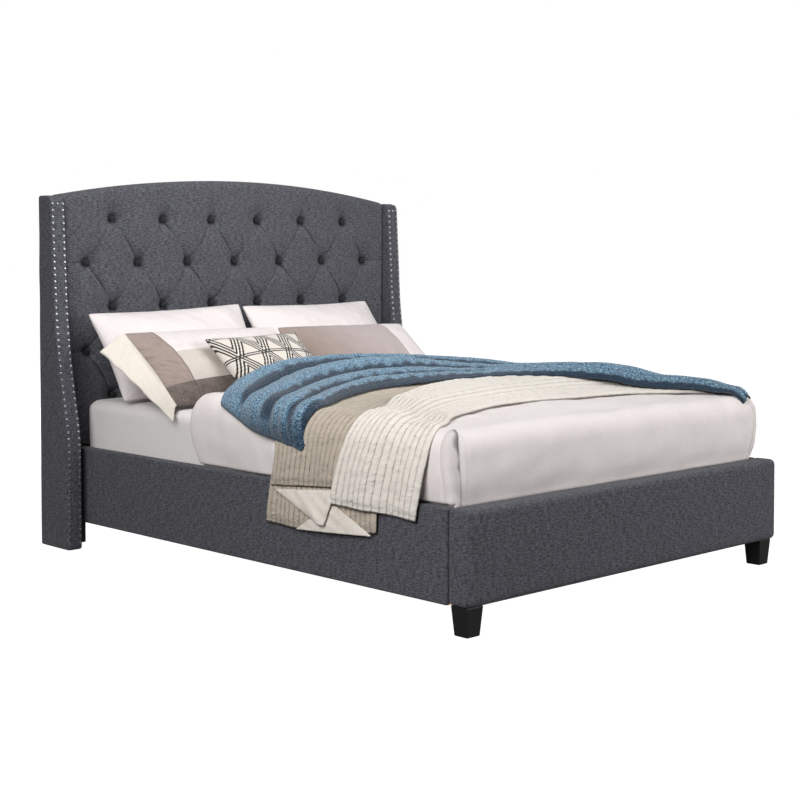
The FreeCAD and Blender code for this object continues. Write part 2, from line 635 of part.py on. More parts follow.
def footboard():
    width = f"2 * {FOOT_CORE_HALF}"
    height = f"{FOOT_CORE_TOP} - {FOOT_CORE_BASE}"
    front = box("footboard_front_board", (f"-{FOOT_CORE_HALF}", FOOT_CORE_FRONT, FOOT_CORE_BASE),
                (width, "foot_board", height))
    inner = box("footboard_inner_blank", (f"-{FOOT_CORE_HALF}", f"{FOOT_CORE_REAR} - foot_board", FOOT_CORE_BASE),
                (width, "foot_board", height))
    fasteners = []
    for side, name in SIDES:
        fasteners += bracket_fasteners(side, name + "_foot_pilot", "hole_gap")
    holes = group("footboard_pilots", fasteners)
    keep("footboard_front_board", front)
    keep("footboard_inner_board", cut("footboard_inner_board", inner, holes))

    spacer_y = f"{FOOT_CORE_FRONT} + foot_board"
    upper = box("spacer_upper", (f"-{FOOT_CORE_HALF}", spacer_y, f"{FOOT_CORE_TOP} - spacer_height"),
                (width, SPACER_DEPTH, "spacer_height"))
    lower = box("spacer_lower_blank", (f"-{FOOT_CORE_HALF}", spacer_y, FOOT_CORE_BASE), (width, SPACER_DEPTH, "spacer_height"))
    lower = cut("spacer_lower", lower, group("foot_bolt_holes", foot_bolt_rods("hole", "hole_gap")))
    ends = [box("spacer_" + name, (mirrored(side, f"({FOOT_CORE_HALF} - spacer_height)", "spacer_height"), spacer_y,
                                   f"{FOOT_CORE_BASE} + spacer_height"),
                ("spacer_height", SPACER_DEPTH, f"{height} - 2 * spacer_height")) for side, name in SIDES]
    keep("footboard_battens", group("footboard_battens", [upper, lower] + ends))

    skin = box("footboard_skin", (f"-{HALF_BED}", FOOT_FRONT, "foot_bottom"),
               (f"2 * {HALF_BED}", "foot_depth", "foot_top - foot_bottom"))
    top = value("foot_top")
    skin = rounded("footboard_soft", skin, value("foot_round"), lambda middle, along:
                   (abs(along.x) > 0.9 or abs(along.y) > 0.9) and middle.z > top - 1)
    core = box("footboard_core_space", (f"-{FOOT_CORE_HALF}", FOOT_CORE_FRONT, FOOT_CORE_BASE),
               (width, f"{FOOT_CORE_REAR} - {FOOT_CORE_FRONT}", height))
    skin = cut("footboard_shell", skin, core)
    openings = group("footboard_openings", fasteners + foot_bolt_rods("skin", "hole_gap"))
    keep("footboard_cover", cut("footboard_cover", skin, openings))


def feet():
    """Tapered square feet, each on a hanger bolt."""
    for side, name in SIDES:
        foot = doc.addObject("Part::Feature", "foot_block_" + name)
        top = value("block_top") / 2
        low = value("block_bottom") / 2
        wires = []
        for half, height in ((low, value("glide_height")), (top, value("foot_bottom"))):
            ring = [FreeCAD.Vector(x * half, y * half, height) for x, y in ((-1, -1), (1, -1), (1, 1), (-1, 1), (-1, -1))]
            wires.append(Part.makePolygon(ring))
        foot.Shape = Part.makeLoft(wires, True, True)
        foot.Placement = FreeCAD.Placement(FreeCAD.Vector(side * value(BLOCK_CENTRE_X), value(BLOCK_CENTRE_Y), 0),
                                           FreeCAD.Rotation())
        keep("foot_" + name, cut("foot_drilled_" + name, foot, group("foot_bore_" + name, foot_bolt_rods(name, "hole_gap"))))
    keep("foot_hanger_bolts", group("foot_hanger_bolts", foot_bolt_rods("bolt", "0")))


def bracket_fasteners(side, name, gap):
    """Rods for a corner bracket: two screws into the rail and two bolts into the footboard."""
    rods = []
    for index, share in enumerate((0.25, 0.75)):
        height = f"bracket_base + {BRACKET_HEIGHT} * {share}"
        start = mirrored(side, f"({RAIL_INNER} - hanger_sheet - 3)", "0")
        along = f"{FOOT_INNER} + bracket_width * 0.6"
        rods.append(rod(f"bracket_screw_{name}_{index}", (start, along, height), (side, 0, 0), f"screw_radius + 1 + {gap}",
                        "hanger_sheet + 3 + cover_cloth + rail_board - 6"))
        across = mirrored(side, f"({RAIL_INNER} - bracket_width * 0.6)", "0")
        rods.append(rod(f"bracket_bolt_{name}_{index}", (across, f"{FOOT_INNER} + hanger_sheet + 3", height), (0, -1, 0),
                        f"screw_radius + 1 + {gap}", "hanger_sheet + 3 + cover_cloth + foot_board - 3"))
    return rods


def corner_brackets():
    """Bent steel angles that join the rails to the footboard, with their screws."""
    screws = []
    for side, name in SIDES:
        on_rail = box("bracket_rail_" + name, (mirrored(side, f"({RAIL_INNER} - hanger_sheet)", "hanger_sheet"), FOOT_INNER,
                                               "bracket_base"), ("hanger_sheet", "bracket_width", BRACKET_HEIGHT))
        on_foot = box("bracket_foot_" + name, (mirrored(side, f"({RAIL_INNER} - bracket_width)", "bracket_width"), FOOT_INNER,
                                               "bracket_base"), ("bracket_width", "hanger_sheet", BRACKET_HEIGHT))
        angle = combine("MultiFuse", "bracket_angle_" + name, (on_rail, on_foot))
        holes = group("bracket_holes_" + name, bracket_fasteners(side, name + "_hole", "hole_gap"))
        keep("corner_bracket_" + name, cut("corner_bracket_" + name, angle, holes))
        screws += bracket_fasteners(side, name + "_screw", "0")
    keep("bracket_screws", group("bracket_screws", screws))


# ---- slatted base ----------------------------------------------------------------------------------------------

def slat_centres():
    """Formula for each slat's middle in Y, spread evenly between the footboard and the brace."""
    first = f"({FOOT_INNER} + slat_margin + slat_width / 2)"
    last = f"({BRACE_FRONT} - slat_margin - slat_width / 2)"
    count = int(value("slat_count"))
    return [f"({first} + ({last} - {first}) * {index} / {count - 1})" for index in range(count)]


def slat_screw_rods(side, name, gap):
    """Upright rods through one end of every slat into the ledger."""
    across = mirrored(side, f"({RAIL_INNER} - ledger_size / 2)", "0")
    base = f"{LEDGER_BASE} + 5"
    return [rod(f"slat_screw_{name}_{index}", (across, centre, base), (0, 0, 1), f"screw_radius + {gap}",
                "ledger_size - 5 + slat_thickness - 0.5") for index, centre in enumerate(slat_centres())]


def slatted_base():
    half = f"({RAIL_INNER} - slat_gap)"
    holes = []
    screws = []
    for side, name in SIDES:
        holes += slat_screw_rods(side, name + "_slat", "hole_gap")
        screws += slat_screw_rods(side, name + "_screw", "0")
    slats = []
    for index, centre in enumerate(slat_centres()):
        blank = box(f"slat_blank_{index}", (f"-{half}", f"{centre} - slat_width / 2", SLAT_BASE),
                    (f"2 * {half}", "slat_width", "slat_thickness"))
        own_holes = group(f"slat_holes_{index}", [holes[index], holes[index + len(slat_centres())]])
        slats.append(cut(f"slat_{index}", blank, own_holes))
    keep("slats", group("slats", slats))
    keep("slat_screws", group("slat_screws", screws))

    start = f"({FOOT_INNER} + hanger_sheet)"
    beam_length = f"({BRACE_FRONT} - hanger_sheet - {start})"
    beam = box("beam_blank", ("-beam_width / 2", start, BEAM_BASE), ("beam_width", beam_length, "beam_height"))
    keep("centre_beam", cut("centre_beam", beam, group("beam_holes", support_bolt_rods("beam", "hole_gap"))))
    beam_hangers()
    support_legs()


def beam_hangers():
    """Steel seats for the centre beam on the footboard and on the headboard's brace."""
    hangers = []
    for name, wall_y, seat_y in (("foot", FOOT_INNER, FOOT_INNER),
                                 ("head", f"{BRACE_FRONT} - hanger_sheet", f"{BRACE_FRONT} - hanger_sheet - hanger_seat")):
        outer = "beam_width + 2 * hanger_sheet"
        block = box("hanger_block_" + name, (f"-({outer}) / 2", seat_y, f"{BEAM_BASE} - hanger_sheet"),
                    (outer, "hanger_seat + hanger_sheet", "beam_height * 0.7 + hanger_sheet"))
        slot_y = f"{wall_y} + hanger_sheet" if name == "foot" else seat_y
        slot = box("hanger_slot_" + name, ("-beam_width / 2", slot_y, BEAM_BASE), ("beam_width", "hanger_seat", "beam_height"))
        hangers.append(cut("hanger_" + name, block, slot))
    keep("beam_hangers", group("beam_hangers", hangers))


def support_ys():
    return [f"({index} * support_pitch)" for index in (-1, 0, 1)]


def support_bolt_rods(name, gap):
    return [rod(f"support_bolt_{name}_{index}", ("0", y, f"{BEAM_BASE} - 45"), (0, 0, 1), f"bolt_radius + {gap}", "80")
            for index, y in enumerate(support_ys())]


def support_legs():
    """Centre legs under the beam, each with a screw-in leveller."""
    legs = []
    bolts = group("support_bores", support_bolt_rods("leg", "hole_gap"))
    for index, y in enumerate(support_ys()):
        blank = box(f"support_blank_{index}", ("-support_width / 2", f"{y} - support_width / 2", "support_base"),
                    ("support_width", "support_width", f"{BEAM_BASE} - support_base"))
        bore = rod(f"support_bore_{index}", ("0", y, "support_base"), (0, 0, 1), "leveller_stem + running_gap",
                   "leveller_reach + leveller_room")
        legs.append(cut(f"support_leg_{index}", cut(f"support_bolted_{index}", blank, bolts), bore))
        stem = rod(f"leveller_stem_{index}", ("0", y, "leveller_pad_height"), (0, 0, 1), "leveller_stem",
                   "support_base - leveller_pad_height + leveller_reach")
        foot = rod(f"leveller_pad_{index}", ("0", y, "0"), (0, 0, 1), "leveller_pad", "leveller_pad_height")
        keep(f"leveller_{index + 1}", combine("MultiFuse", f"leveller_{index + 1}", (foot, stem)))
    keep("support_legs", group("support_legs", legs))
    keep("support_bolts", group("support_bolts", support_bolt_rods("bolt", "0")))


def floor_glides():
    """Plastic discs under the wings, the headboard's legs and the feet."""
    glides = []
    for side, name in SIDES:
        wing_x = f"{side} * ({WING_INNER} + wing_thickness / 2)"
        spots = ((wing_x, f"{REAR} - wing_foot_depth + 30"), (wing_x, f"{REAR} - 30"),
                 (f"{side} * ({LEG_INNER} + leg_width / 2)", f"{LEG_FRONT} + leg_depth / 2"),
                 (f"{side} * {BLOCK_CENTRE_X}", BLOCK_CENTRE_Y))
        for index, (x, y) in enumerate(spots):
            glides.append(rod(f"glide_{name}_{index}", (x, y, "0"), (0, 0, 1), "glide_radius", "glide_height"))
    keep("floor_glides", group("floor_glides", glides))


# ---- mattress and bedding --------------------------------------------------------------------------------------

MATTRESS_REAR = f"({PAD_FRONT} - head_room)"
MATTRESS_FRONT = f"({MATTRESS_REAR} - mattress_length)"
MATTRESS_TOP = "(slat_top + mattress_lift + mattress_height)"
HALF_MATTRESS = "(mattress_width / 2)"
DUVET_TOP = f"({MATTRESS_TOP} + layer_gap + duvet_loft)"
DUVET_HALF = f"({HALF_MATTRESS} + layer_gap + duvet_side)"
QUILT_BASE = f"({DUVET_TOP} + layer_gap)"
QUILT_SIDE = f"({HALF_BED} + 6)"


def upright_edge(middle, along):
    return abs(along.z) > 0.9


def mattress():
    body = box("mattress_block", (f"-{HALF_MATTRESS}", MATTRESS_FRONT, "slat_top + mattress_lift"),
               ("mattress_width", "mattress_length", "mattress_height"))
    body = rounded("mattress_corners", body, value("mattress_corner"), upright_edge)
    keep("mattress", rounded("mattress", body, value("mattress_edge"), lambda middle, along: abs(along.z) < 0.1))


def duvet():
    """A cap over the mattress: top, two sides and the foot, with its head end open."""
    front = f"({MATTRESS_FRONT} - layer_gap - duvet_foot)"
    hem = "(rail_top + duvet_hem)"
    outer = box("duvet_outer", (f"-{DUVET_HALF}", front, hem), (f"2 * {DUVET_HALF}", f"{PAD_FRONT} - duvet_head - ({front})",
                                                               f"{DUVET_TOP} - {hem}"))
    outer = rounded("duvet_corners", outer, value("mattress_corner"), lambda middle, along:
                    abs(along.z) > 0.9 and middle.y < 0)
    space_half = f"({HALF_MATTRESS} + layer_gap)"
    space = box("duvet_space", (f"-{space_half}", f"{MATTRESS_FRONT} - layer_gap", hem),
                (f"2 * {space_half}", "mattress_length", f"{MATTRESS_TOP} + layer_gap - {hem}"))
    space = rounded("duvet_space_corners", space, value("mattress_corner"), upright_edge)
    keep("duvet", cut("duvet", outer, space))


def side_draped(label, base, side_at, thickness, corners, drop, drop_span):
    """A layer over the bed: its plan as corners (x, y), and a fall down the left side between two Y values."""
    body, pad = pad_body(label + "_top", "XY_Plane", corners, thickness)
    place(body, ("0", "0", base))
    fall = box(label + "_fall", (f"-{side_at} - {thickness}", drop_span[0], drop),
               (thickness, f"{drop_span[1]} - ({drop_span[0]})", f"{base} + {thickness} - ({drop})"))
    keep(label, combine("MultiFuse", label, (body, fall)))


def along(share):
    """Y of a place on the covers: 0 at the mattress's foot end, 1 just in front of the pillows."""
    return f"({MATTRESS_FRONT} + (mattress_length + head_room - pillow_zone) * {share})"


def quilts():
    """Two quilts and a throw, each folded over the duvet and down the left side."""
    right = f"({DUVET_HALF} - 15)"
    left = f"-{QUILT_SIDE} - quilt_thickness"
    side_draped("beige_quilt", QUILT_BASE, QUILT_SIDE, "quilt_thickness",
                ((left, along(0.24)), ("300", along(0.42)), ("300", along(0.76)), (left, along(0.67))),
                "rail_bottom + 147", (along(0.24), along(0.67)))
    second = f"({QUILT_BASE} + quilt_thickness + layer_gap)"
    second_side = f"({QUILT_SIDE} + quilt_thickness + layer_gap)"
    left = f"-{second_side} - quilt_thickness"
    side_draped("ivory_quilt", second, second_side, "quilt_thickness",
                ((left, along(0.08)), ("-620", along(0.11)), ("-250", along(0.23)), ("400", along(0.24)),
                 (right, along(0.14)), (right, along(0.35)), ("300", along(0.64)), ("-300", along(0.68)),
                 (left, along(0.40))), "rail_bottom + 242", (along(0.08), along(0.40)))
    third = f"({second} + quilt_thickness + layer_gap)"
    third_side = f"({second_side} + quilt_thickness + layer_gap)"
    left = f"-{third_side} - throw_thickness"
    side_draped("knitted_throw", third, third_side, "throw_thickness",
                ((left, along(0.47)), ("-300", along(0.57)), ("420", along(0.54)), (f"{right} - 80", along(0.30)),
                 (right, along(0.03)), (right, along(0.79)), ("300", along(0.99)), ("-450", along(1)),
                 (left, along(0.87))), "rail_top + 100", (along(0.47), along(0.87)))


def leaning_pillow(label, width, thickness, height, centre_x, reach, lean, clear):
    """A soft slab standing on the mattress and leaning back by an angle, its front a reach from the headboard."""
    front_y = value(PAD_FRONT) - reach
    slab = doc.addObject("Part::Box", label + "_slab")
    slab.Length = width
    slab.Width = thickness
    slab.Height = height
    soft = rounded(label + "_soft", slab, thickness * 0.42, lambda middle, along: True)
    angle = math.radians(lean)
    soft.Placement = FreeCAD.Placement(
        FreeCAD.Vector(centre_x - width / 2, front_y, 0), FreeCAD.Rotation(FreeCAD.Vector(1, 0, 0), -lean))
    rise = f"{MATTRESS_TOP} + layer_gap + {thickness * math.sin(angle) - clear}"
    bind(soft, "Placement.Base.z", rise)
    keep(label, soft)


def pillows():
    """Two pillows against the headboard, two shams in front of them and one small pillow."""
    quarter = value("mattress_width") / 4
    wide = quarter * 1.92
    leaning_pillow("back_pillow_left", wide, 130, 360, -quarter - 44, 324, 32, 12)
    leaning_pillow("back_pillow_right", wide, 130, 360, quarter - 36, 324, 32, 12)
    leaning_pillow("sham_left", wide - 70, 100, 285, -quarter - 74, 594, 45, 10)
    leaning_pillow("sham_right", wide - 40, 100, 285, quarter - 86, 594, 45, 10)
    leaning_pillow("accent_pillow", quarter * 1.23, 100, 275, 81 - quarter, 772, 38, 10)


# ---- the whole bed ---------------------------------------------------------------------------------------------

def export():
    """Write one STEP file per sub-part, once everything has built cleanly."""
    doc.recompute()
    for item in doc.Objects:
        if "Invalid" in item.State or "Error" in item.State:
            raise RuntimeError(f"{item.Name} failed: {item.State}")
    for item in nodes:
        if item.Shape.isNull() or not item.Shape.isValid():
            raise RuntimeError(f"{item.Label} has no valid shape")
    os.makedirs("parts", exist_ok=True)
    for item in nodes:
        item.Shape.exportStep(f"parts/{item.Label}.step")
    print(len(nodes), "sub-parts,", sum(len(item.Shape.Solids) for item in nodes), "solids")


headboard()
wings()
side_rails()
headboard_bolts()
footboard()
feet()
corner_brackets()
slatted_base()
floor_glides()
mattress()
duvet()
quilts()
pillows()
export()
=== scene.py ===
"""A queen bed with a tufted, winged headboard and its bedding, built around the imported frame."""
import math

import bpy
import numpy as np
from bpy.props import FloatProperty, FloatVectorProperty, PointerProperty
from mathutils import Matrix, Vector


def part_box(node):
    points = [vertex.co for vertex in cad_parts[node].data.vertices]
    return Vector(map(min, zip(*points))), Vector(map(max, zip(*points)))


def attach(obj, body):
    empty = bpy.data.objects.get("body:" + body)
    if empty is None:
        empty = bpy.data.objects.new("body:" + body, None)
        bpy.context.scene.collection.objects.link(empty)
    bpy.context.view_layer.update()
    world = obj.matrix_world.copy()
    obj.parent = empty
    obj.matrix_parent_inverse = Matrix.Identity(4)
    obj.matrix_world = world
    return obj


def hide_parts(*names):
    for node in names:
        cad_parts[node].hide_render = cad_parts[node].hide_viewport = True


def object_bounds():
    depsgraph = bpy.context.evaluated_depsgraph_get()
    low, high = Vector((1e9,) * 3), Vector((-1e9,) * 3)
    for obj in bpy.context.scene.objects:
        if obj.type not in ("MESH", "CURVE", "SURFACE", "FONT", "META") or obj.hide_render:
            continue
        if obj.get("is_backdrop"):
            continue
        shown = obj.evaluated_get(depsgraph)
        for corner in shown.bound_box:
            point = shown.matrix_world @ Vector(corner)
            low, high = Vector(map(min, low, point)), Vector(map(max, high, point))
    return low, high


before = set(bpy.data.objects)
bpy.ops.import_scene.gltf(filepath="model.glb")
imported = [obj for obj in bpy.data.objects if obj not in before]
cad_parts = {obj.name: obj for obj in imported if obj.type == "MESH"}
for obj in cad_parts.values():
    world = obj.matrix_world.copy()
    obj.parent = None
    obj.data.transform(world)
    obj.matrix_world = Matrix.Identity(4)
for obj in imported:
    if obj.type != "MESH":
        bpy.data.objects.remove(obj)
cad_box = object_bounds()

bl_info = {
    "name": "Tufted Wing Bed",
    "version": (1, 0, 0),
    "blender": (4, 5, 0),
    "location": "3D View > Sidebar > Bed",
    "description": "Upholstery, bedding and studio for a bed with a tufted headboard",
    "category": "Add Mesh",
}

LEFT, RIGHT = -1, 1
SIDES = ((LEFT, "left"), (RIGHT, "right"))
TURN = 2 * math.pi
HALF_TURN = math.pi
QUARTER_TURN = math.pi / 2
# Where grid lines lie in a rounded edge, as shares of its radius.
EDGE_STEPS = 1 - np.tan(np.radians([45, 32, 16]))


# ---- grids and meshes --------------------------------------------------------------------------------------

def spread(low, high, radius, count):
    """Positions from low to high: four bunched inside a rounded edge at each end, even ones between."""
    edge = radius * EDGE_STEPS
    middle = np.linspace(low + radius, high - radius, count + 1)
    return np.concatenate([low + edge, middle, (high - edge)[::-1]])


def unit_grid(shape):
    """Shares u down the rows and v along the columns of a grid, both from 0 to 1."""
    return np.meshgrid(np.linspace(0, 1, shape[0]), np.linspace(0, 1, shape[1]), indexing="ij")


def grid_quads(grid):
    """The four corners of each cell of a grid."""
    return np.stack([grid[:-1, :-1], grid[1:, :-1], grid[1:, 1:], grid[:-1, 1:]], axis=2)


def other_axes(axis):
    return [other for other in range(3) if other != axis]


def box_skin(counts, open_side=None):
    """The skin of a box with counts cells along its three axes: whole-number points, quads wound outwards.

    Each of the six sides is a grid of two axes, and points shared by sides are joined. One may be left out.
    """
    quads = []
    for axis in range(3):
        first, second = other_axes(axis)
        for at in (0, counts[axis]):
            if open_side == (axis, at > 0):
                continue
            grid = np.zeros((counts[first] + 1, counts[second] + 1, 3), int)
            grid[..., first] = np.arange(counts[first] + 1)[:, None]
            grid[..., second] = np.arange(counts[second] + 1)[None, :]
            grid[..., axis] = at
            faces = grid_quads(grid).reshape(-1, 4, 3)
            quads.append(faces if (axis != 1) == (at > 0) else faces[:, ::-1])
    quads = np.concatenate(quads)
    points, index = np.unique(quads.reshape(-1, 3), axis=0, return_inverse=True)
    return points, index.reshape(-1, 4)


def rim_of(points, counts, open_side):
    """The points round an open side, in order, wound so that a face over them looks outwards."""
    axis, far = open_side
    first, second = other_axes(axis)
    a, b = counts[first], counts[second]
    walk = [(i, 0) for i in range(a)] + [(a, j) for j in range(b)]
    walk += [(i, b) for i in range(a, 0, -1)] + [(0, j) for j in range(b, 0, -1)]
    where = {tuple(point): number for number, point in enumerate(points.tolist())}
    loop = []
    for i, j in walk:
        spot = [0, 0, 0]
        spot[first], spot[second], spot[axis] = i, j, counts[axis] if far else 0
        loop.append(where[tuple(spot)])
    return np.array([loop if (axis != 1) == bool(far) else loop[::-1]])


def soften(points, low, high, radius):
    """Round a box's skin: pull each point to the box shrunk by the radius, and push it out by the radius."""
    inner = np.clip(points, np.add(low, radius), np.subtract(high, radius))
    away = points - inner
    length = np.linalg.norm(away, axis=-1, keepdims=True)
    return inner + away / np.maximum(length, 1e-9) * radius


def soft_box(low, high, radius, counts):
    """A box with every edge and corner rounded, as points and quads."""
    lines = [spread(a, b, radius, n) for a, b, n in zip(low, high, counts)]
    points, quads = box_skin([len(line) - 1 for line in lines])
    points = np.stack([line[points[:, axis]] for axis, line in enumerate(lines)], axis=1)
    return soften(points, low, high, radius), quads


def both_faces(front, rear):
    """Values for a closed skin's points, in order: all of the front's grid, then the inside of the rear's."""
    last = front.shape[-1]
    return np.concatenate([front.reshape(-1, last), rear[1:-1, 1:-1].reshape(-1, last)])


def closed_skin(front, rear):
    """Points and quads of a skin between two grids that share their border points."""
    rows, columns = front.shape[:2]
    top = np.arange(rows * columns).reshape(rows, columns)
    under = top.copy()
    inside = under[1:-1, 1:-1]
    inside[:] = rows * columns + np.arange(inside.size).reshape(inside.shape)
    quads = [grid_quads(top).reshape(-1, 4), grid_quads(under).reshape(-1, 4)[:, ::-1]]
    return both_faces(front, rear), np.concatenate(quads)


def sheet_skin(centre, steps, thickness):
    """A closed skin about a grid of centre points: both faces lie half a thickness along the grid's normals.

    The normal is the cross product of the grid's two steps. The half thickness falls to nil over the grid's
    last steps in a quarter round.
    """
    normal = np.cross(np.gradient(centre, axis=0), np.gradient(centre, axis=1))
    normal /= np.maximum(np.linalg.norm(normal, axis=-1, keepdims=True), 1e-12)
    rows, columns = (np.minimum(np.arange(n), np.arange(n)[::-1]) for n in centre.shape[:2])
    depth = np.clip(np.minimum(rows[:, None], columns[None, :]) / steps, 0, 1)
    half = (thickness / 2 * np.sqrt(1 - (1 - depth) ** 2))[..., None]
    return closed_skin(centre + normal * half, centre - normal * half)


def length_along(centre, axis):
    """How far each point of a grid lies along the cloth, added up step by step along one axis."""
    run = np.cumsum(np.linalg.norm(np.diff(centre, axis=axis), axis=-1), axis=axis)
    return np.concatenate([np.zeros_like(run.take([0], axis)), run], axis=axis)


def ripple(seed, scale, *coordinates):
    """Smooth random waves between about -1 and 1: a sum of ten sine waves of random direction, all near one
    length."""
    random = np.random.default_rng(seed)
    total = 0
    for _ in range(10):
        direction = random.normal(size=len(coordinates))
        direction /= np.linalg.norm(direction)
        length = scale * random.uniform(0.6, 1.6)
        phase = sum(part * line for part, line in zip(direction, coordinates))
        total = total + np.sin(TURN * phase / length + random.uniform(0, TURN))
    return total / 4.5


def bell(distance, width):
    """A smooth bump of height 1 that has faded beyond its width."""
    return np.exp(-(distance / width) ** 2)


def ease(value, low, high):
    """0 below low and 1 above high, with a smooth S between."""
    share = np.clip((value - low) / (high - low), 0, 1)
    return share * share * (3 - 2 * share)


def flat_layout(mesh, corners):
    """Where each corner lies in metres, seen square on to its face's main direction."""
    normals = np.empty(len(mesh.polygons) * 3)
    mesh.polygons.foreach_get("normal", normals)
    totals = np.empty(len(mesh.polygons), int)
    mesh.polygons.foreach_get("loop_total", totals)
    main = np.repeat(np.abs(normals.reshape(-1, 3)).argmax(axis=1), totals)
    places = np.empty(len(mesh.vertices) * 3)
    mesh.vertices.foreach_get("co", places)
    places = places.reshape(-1, 3)[corners]
    across = np.where(main == 0, places[:, 1], places[:, 0])
    up = np.where(main == 2, places[:, 1], places[:, 2])
    return np.stack([across, up], axis=1)


def piece(name, points, face_sets, finish, body="frame", slot=None, takes=(), layouts=None, crease=None):
    """A finished mesh at the origin, with its finish, its body and the CAD nodes it stands for.

    Its UV map named weave is in metres: a given layout per point, or else the flat layout.
    """
    mesh = bpy.data.meshes.new(name)
    face_sets = face_sets if isinstance(face_sets, (list, tuple)) else [face_sets]
    corners = np.concatenate([faces.reshape(-1) for faces in face_sets]).astype(np.int32)
    sizes = np.concatenate([np.full(len(faces), faces.shape[1]) for faces in face_sets])
    mesh.vertices.add(len(points))
    mesh.vertices.foreach_set("co", np.asarray(points, np.float32).ravel())
    mesh.loops.add(len(corners))
    mesh.loops.foreach_set("vertex_index", corners)
    mesh.polygons.add(len(sizes))
    mesh.polygons.foreach_set("loop_start", np.concatenate([[0], np.cumsum(sizes)[:-1]]).astype(np.int32))
    mesh.update(calc_edges=True)
    mesh.shade_smooth()
    if crease:
        mesh.set_sharp_from_angle(angle=math.radians(crease))
    layouts = dict(layouts or {})
    for title in ["weave"] + [key for key in layouts if key != "weave"]:
        flat = layouts[title][corners] if title in layouts else flat_layout(mesh, corners)
        mesh.uv_layers.new(name=title).data.foreach_set("uv", flat.astype(np.float32).ravel())
    item = bpy.data.objects.new(name, mesh)
    bpy.context.scene.collection.objects.link(item)
    mesh.materials.append(finish)
    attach(item, body)
    if takes:
        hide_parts(*takes)
    return item


# ---- shader maths ------------------------------------------------------------------------------------------

class Value:
    """A shader socket that sums are written with: each operator adds one Math node."""

    def __init__(self, finish, socket):
        self.finish = finish
        self.socket = socket

    def math(self, operation, *others):
        inputs = dict(enumerate((self,) + others))
        return self.finish.node("ShaderNodeMath", {"operation": operation}, inputs)

    def __add__(self, other):
        return self.math("ADD", other)

    def __sub__(self, other):
        return self.math("SUBTRACT", other)

    def __rsub__(self, other):
        return self.math("MULTIPLY_ADD", -1.0, other)

    def __mul__(self, other):
        return self.math("MULTIPLY", other)

    def __truediv__(self, other):
        return self.math("DIVIDE", other)

    def __pow__(self, other):
        return self.math("POWER", other)

    def __abs__(self):
        return self.math("ABSOLUTE")

    __radd__ = __add__
    __rmul__ = __mul__

    def step(self, low, high):
        """0 below low and 1 above high, smooth between; low may be the larger."""
        inputs = {"Value": self, "From Min": low, "From Max": high}
        return self.finish.node("ShaderNodeMapRange", {"interpolation_type": "SMOOTHSTEP"}, inputs)


class Finish:
    """One material, with a Principled surface and nodes that are added by their type."""

    def __init__(self, name, roughness=0.9, **numbers):
        self.material = bpy.data.materials.new(name)
        self.material.use_nodes = True
        self.tree = self.material.node_tree
        self.tree.nodes.clear()
        self.surface = self.tree.nodes.new("ShaderNodeBsdfPrincipled")
        output = self.tree.nodes.new("ShaderNodeOutputMaterial")
        self.tree.links.new(self.surface.outputs[0], output.inputs[0])
        self.surface.inputs["Roughness"].default_value = roughness
        for title, number in numbers.items():
            self.surface.inputs[title.replace("_", " ")].default_value = number

    def feed(self, socket, value):
        if isinstance(value, Value):
            self.tree.links.new(value.socket, socket)
        elif hasattr(value, "__len__") and len(value) == 3 and socket.type == "RGBA":
            socket.default_value = (*value, 1.0)
        else:
            socket.default_value = value

    def node(self, kind, settings=None, inputs=None, output=0):
        """A node with its settings made first and its inputs fed; returns the named or numbered output."""
        node = self.tree.nodes.new(kind)
        for title, setting in (settings or {}).items():
            setattr(node, title, setting)
        for title, value in (inputs or {}).items():
            self.feed(node.inputs[title], value)
        return Value(self, node.outputs[output])

    def mix(self, factor, first, second):
        return self.node("ShaderNodeMix", {"data_type": "RGBA"}, {0: factor, 6: first, 7: second}, 2)

    def place(self, layout="weave"):
        """Across and up in metres, from one of the piece's UV maps."""
        uv = self.node("ShaderNodeUVMap", {"uv_map": layout})
        parts = self.tree.nodes.new("ShaderNodeSeparateXYZ")
        self.feed(parts.inputs[0], uv)
        return Value(self, parts.outputs[0]), Value(self, parts.outputs[1])

    def spot(self):
        """Object coordinates."""
        return self.node("ShaderNodeTexCoord", output="Object")

    def vector(self, x, y, z=0.0):
        return self.node("ShaderNodeCombineXYZ", None, {0: x, 1: y, 2: z})

    def noise(self, vector, scale, detail=2.0, roughness=0.5, distortion=0.0):
        inputs = {"Vector": vector, "Scale": scale, "Detail": detail, "Roughness": roughness}
        return self.node("ShaderNodeTexNoise", None, {**inputs, "Distortion": distortion})

    def bump(self, height, distance, strength=1.0, under=None):
        inputs = {"Height": height, "Distance": distance, "Strength": strength}
        if under:
            inputs["Normal"] = under
        return self.node("ShaderNodeBump", None, inputs)

    def finish(self, colour, normal=None, roughness=None):
        self.feed(self.surface.inputs["Base Color"], colour)
        if normal:
            self.feed(self.surface.inputs["Normal"], normal)
        if roughness:
            self.feed(self.surface.inputs["Roughness"], roughness)
        return self.material


def shade(colour, factor):
    """A colour made lighter or darker."""
    return tuple(part * factor for part in colour)


def weave(finish, across, up, thread, slub, stretch=12):
    """Height of a plain weave, and its slubs: streaks along each thread direction.

    The weave is the product of two sine waves, one per thread direction. A slub streak is noise stretched
    along its thread.
    """
    turn = TURN / thread
    grid = (across * turn).math("SINE") * (up * turn).math("SINE")
    weft = finish.noise(finish.vector(across * (1 / slub / stretch), up * (1 / slub)), 1.0, 2.0)
    warp = finish.noise(finish.vector(across * (1 / slub), up * (1 / slub / stretch), 3.7), 1.0, 2.0)
    return grid, weft, warp


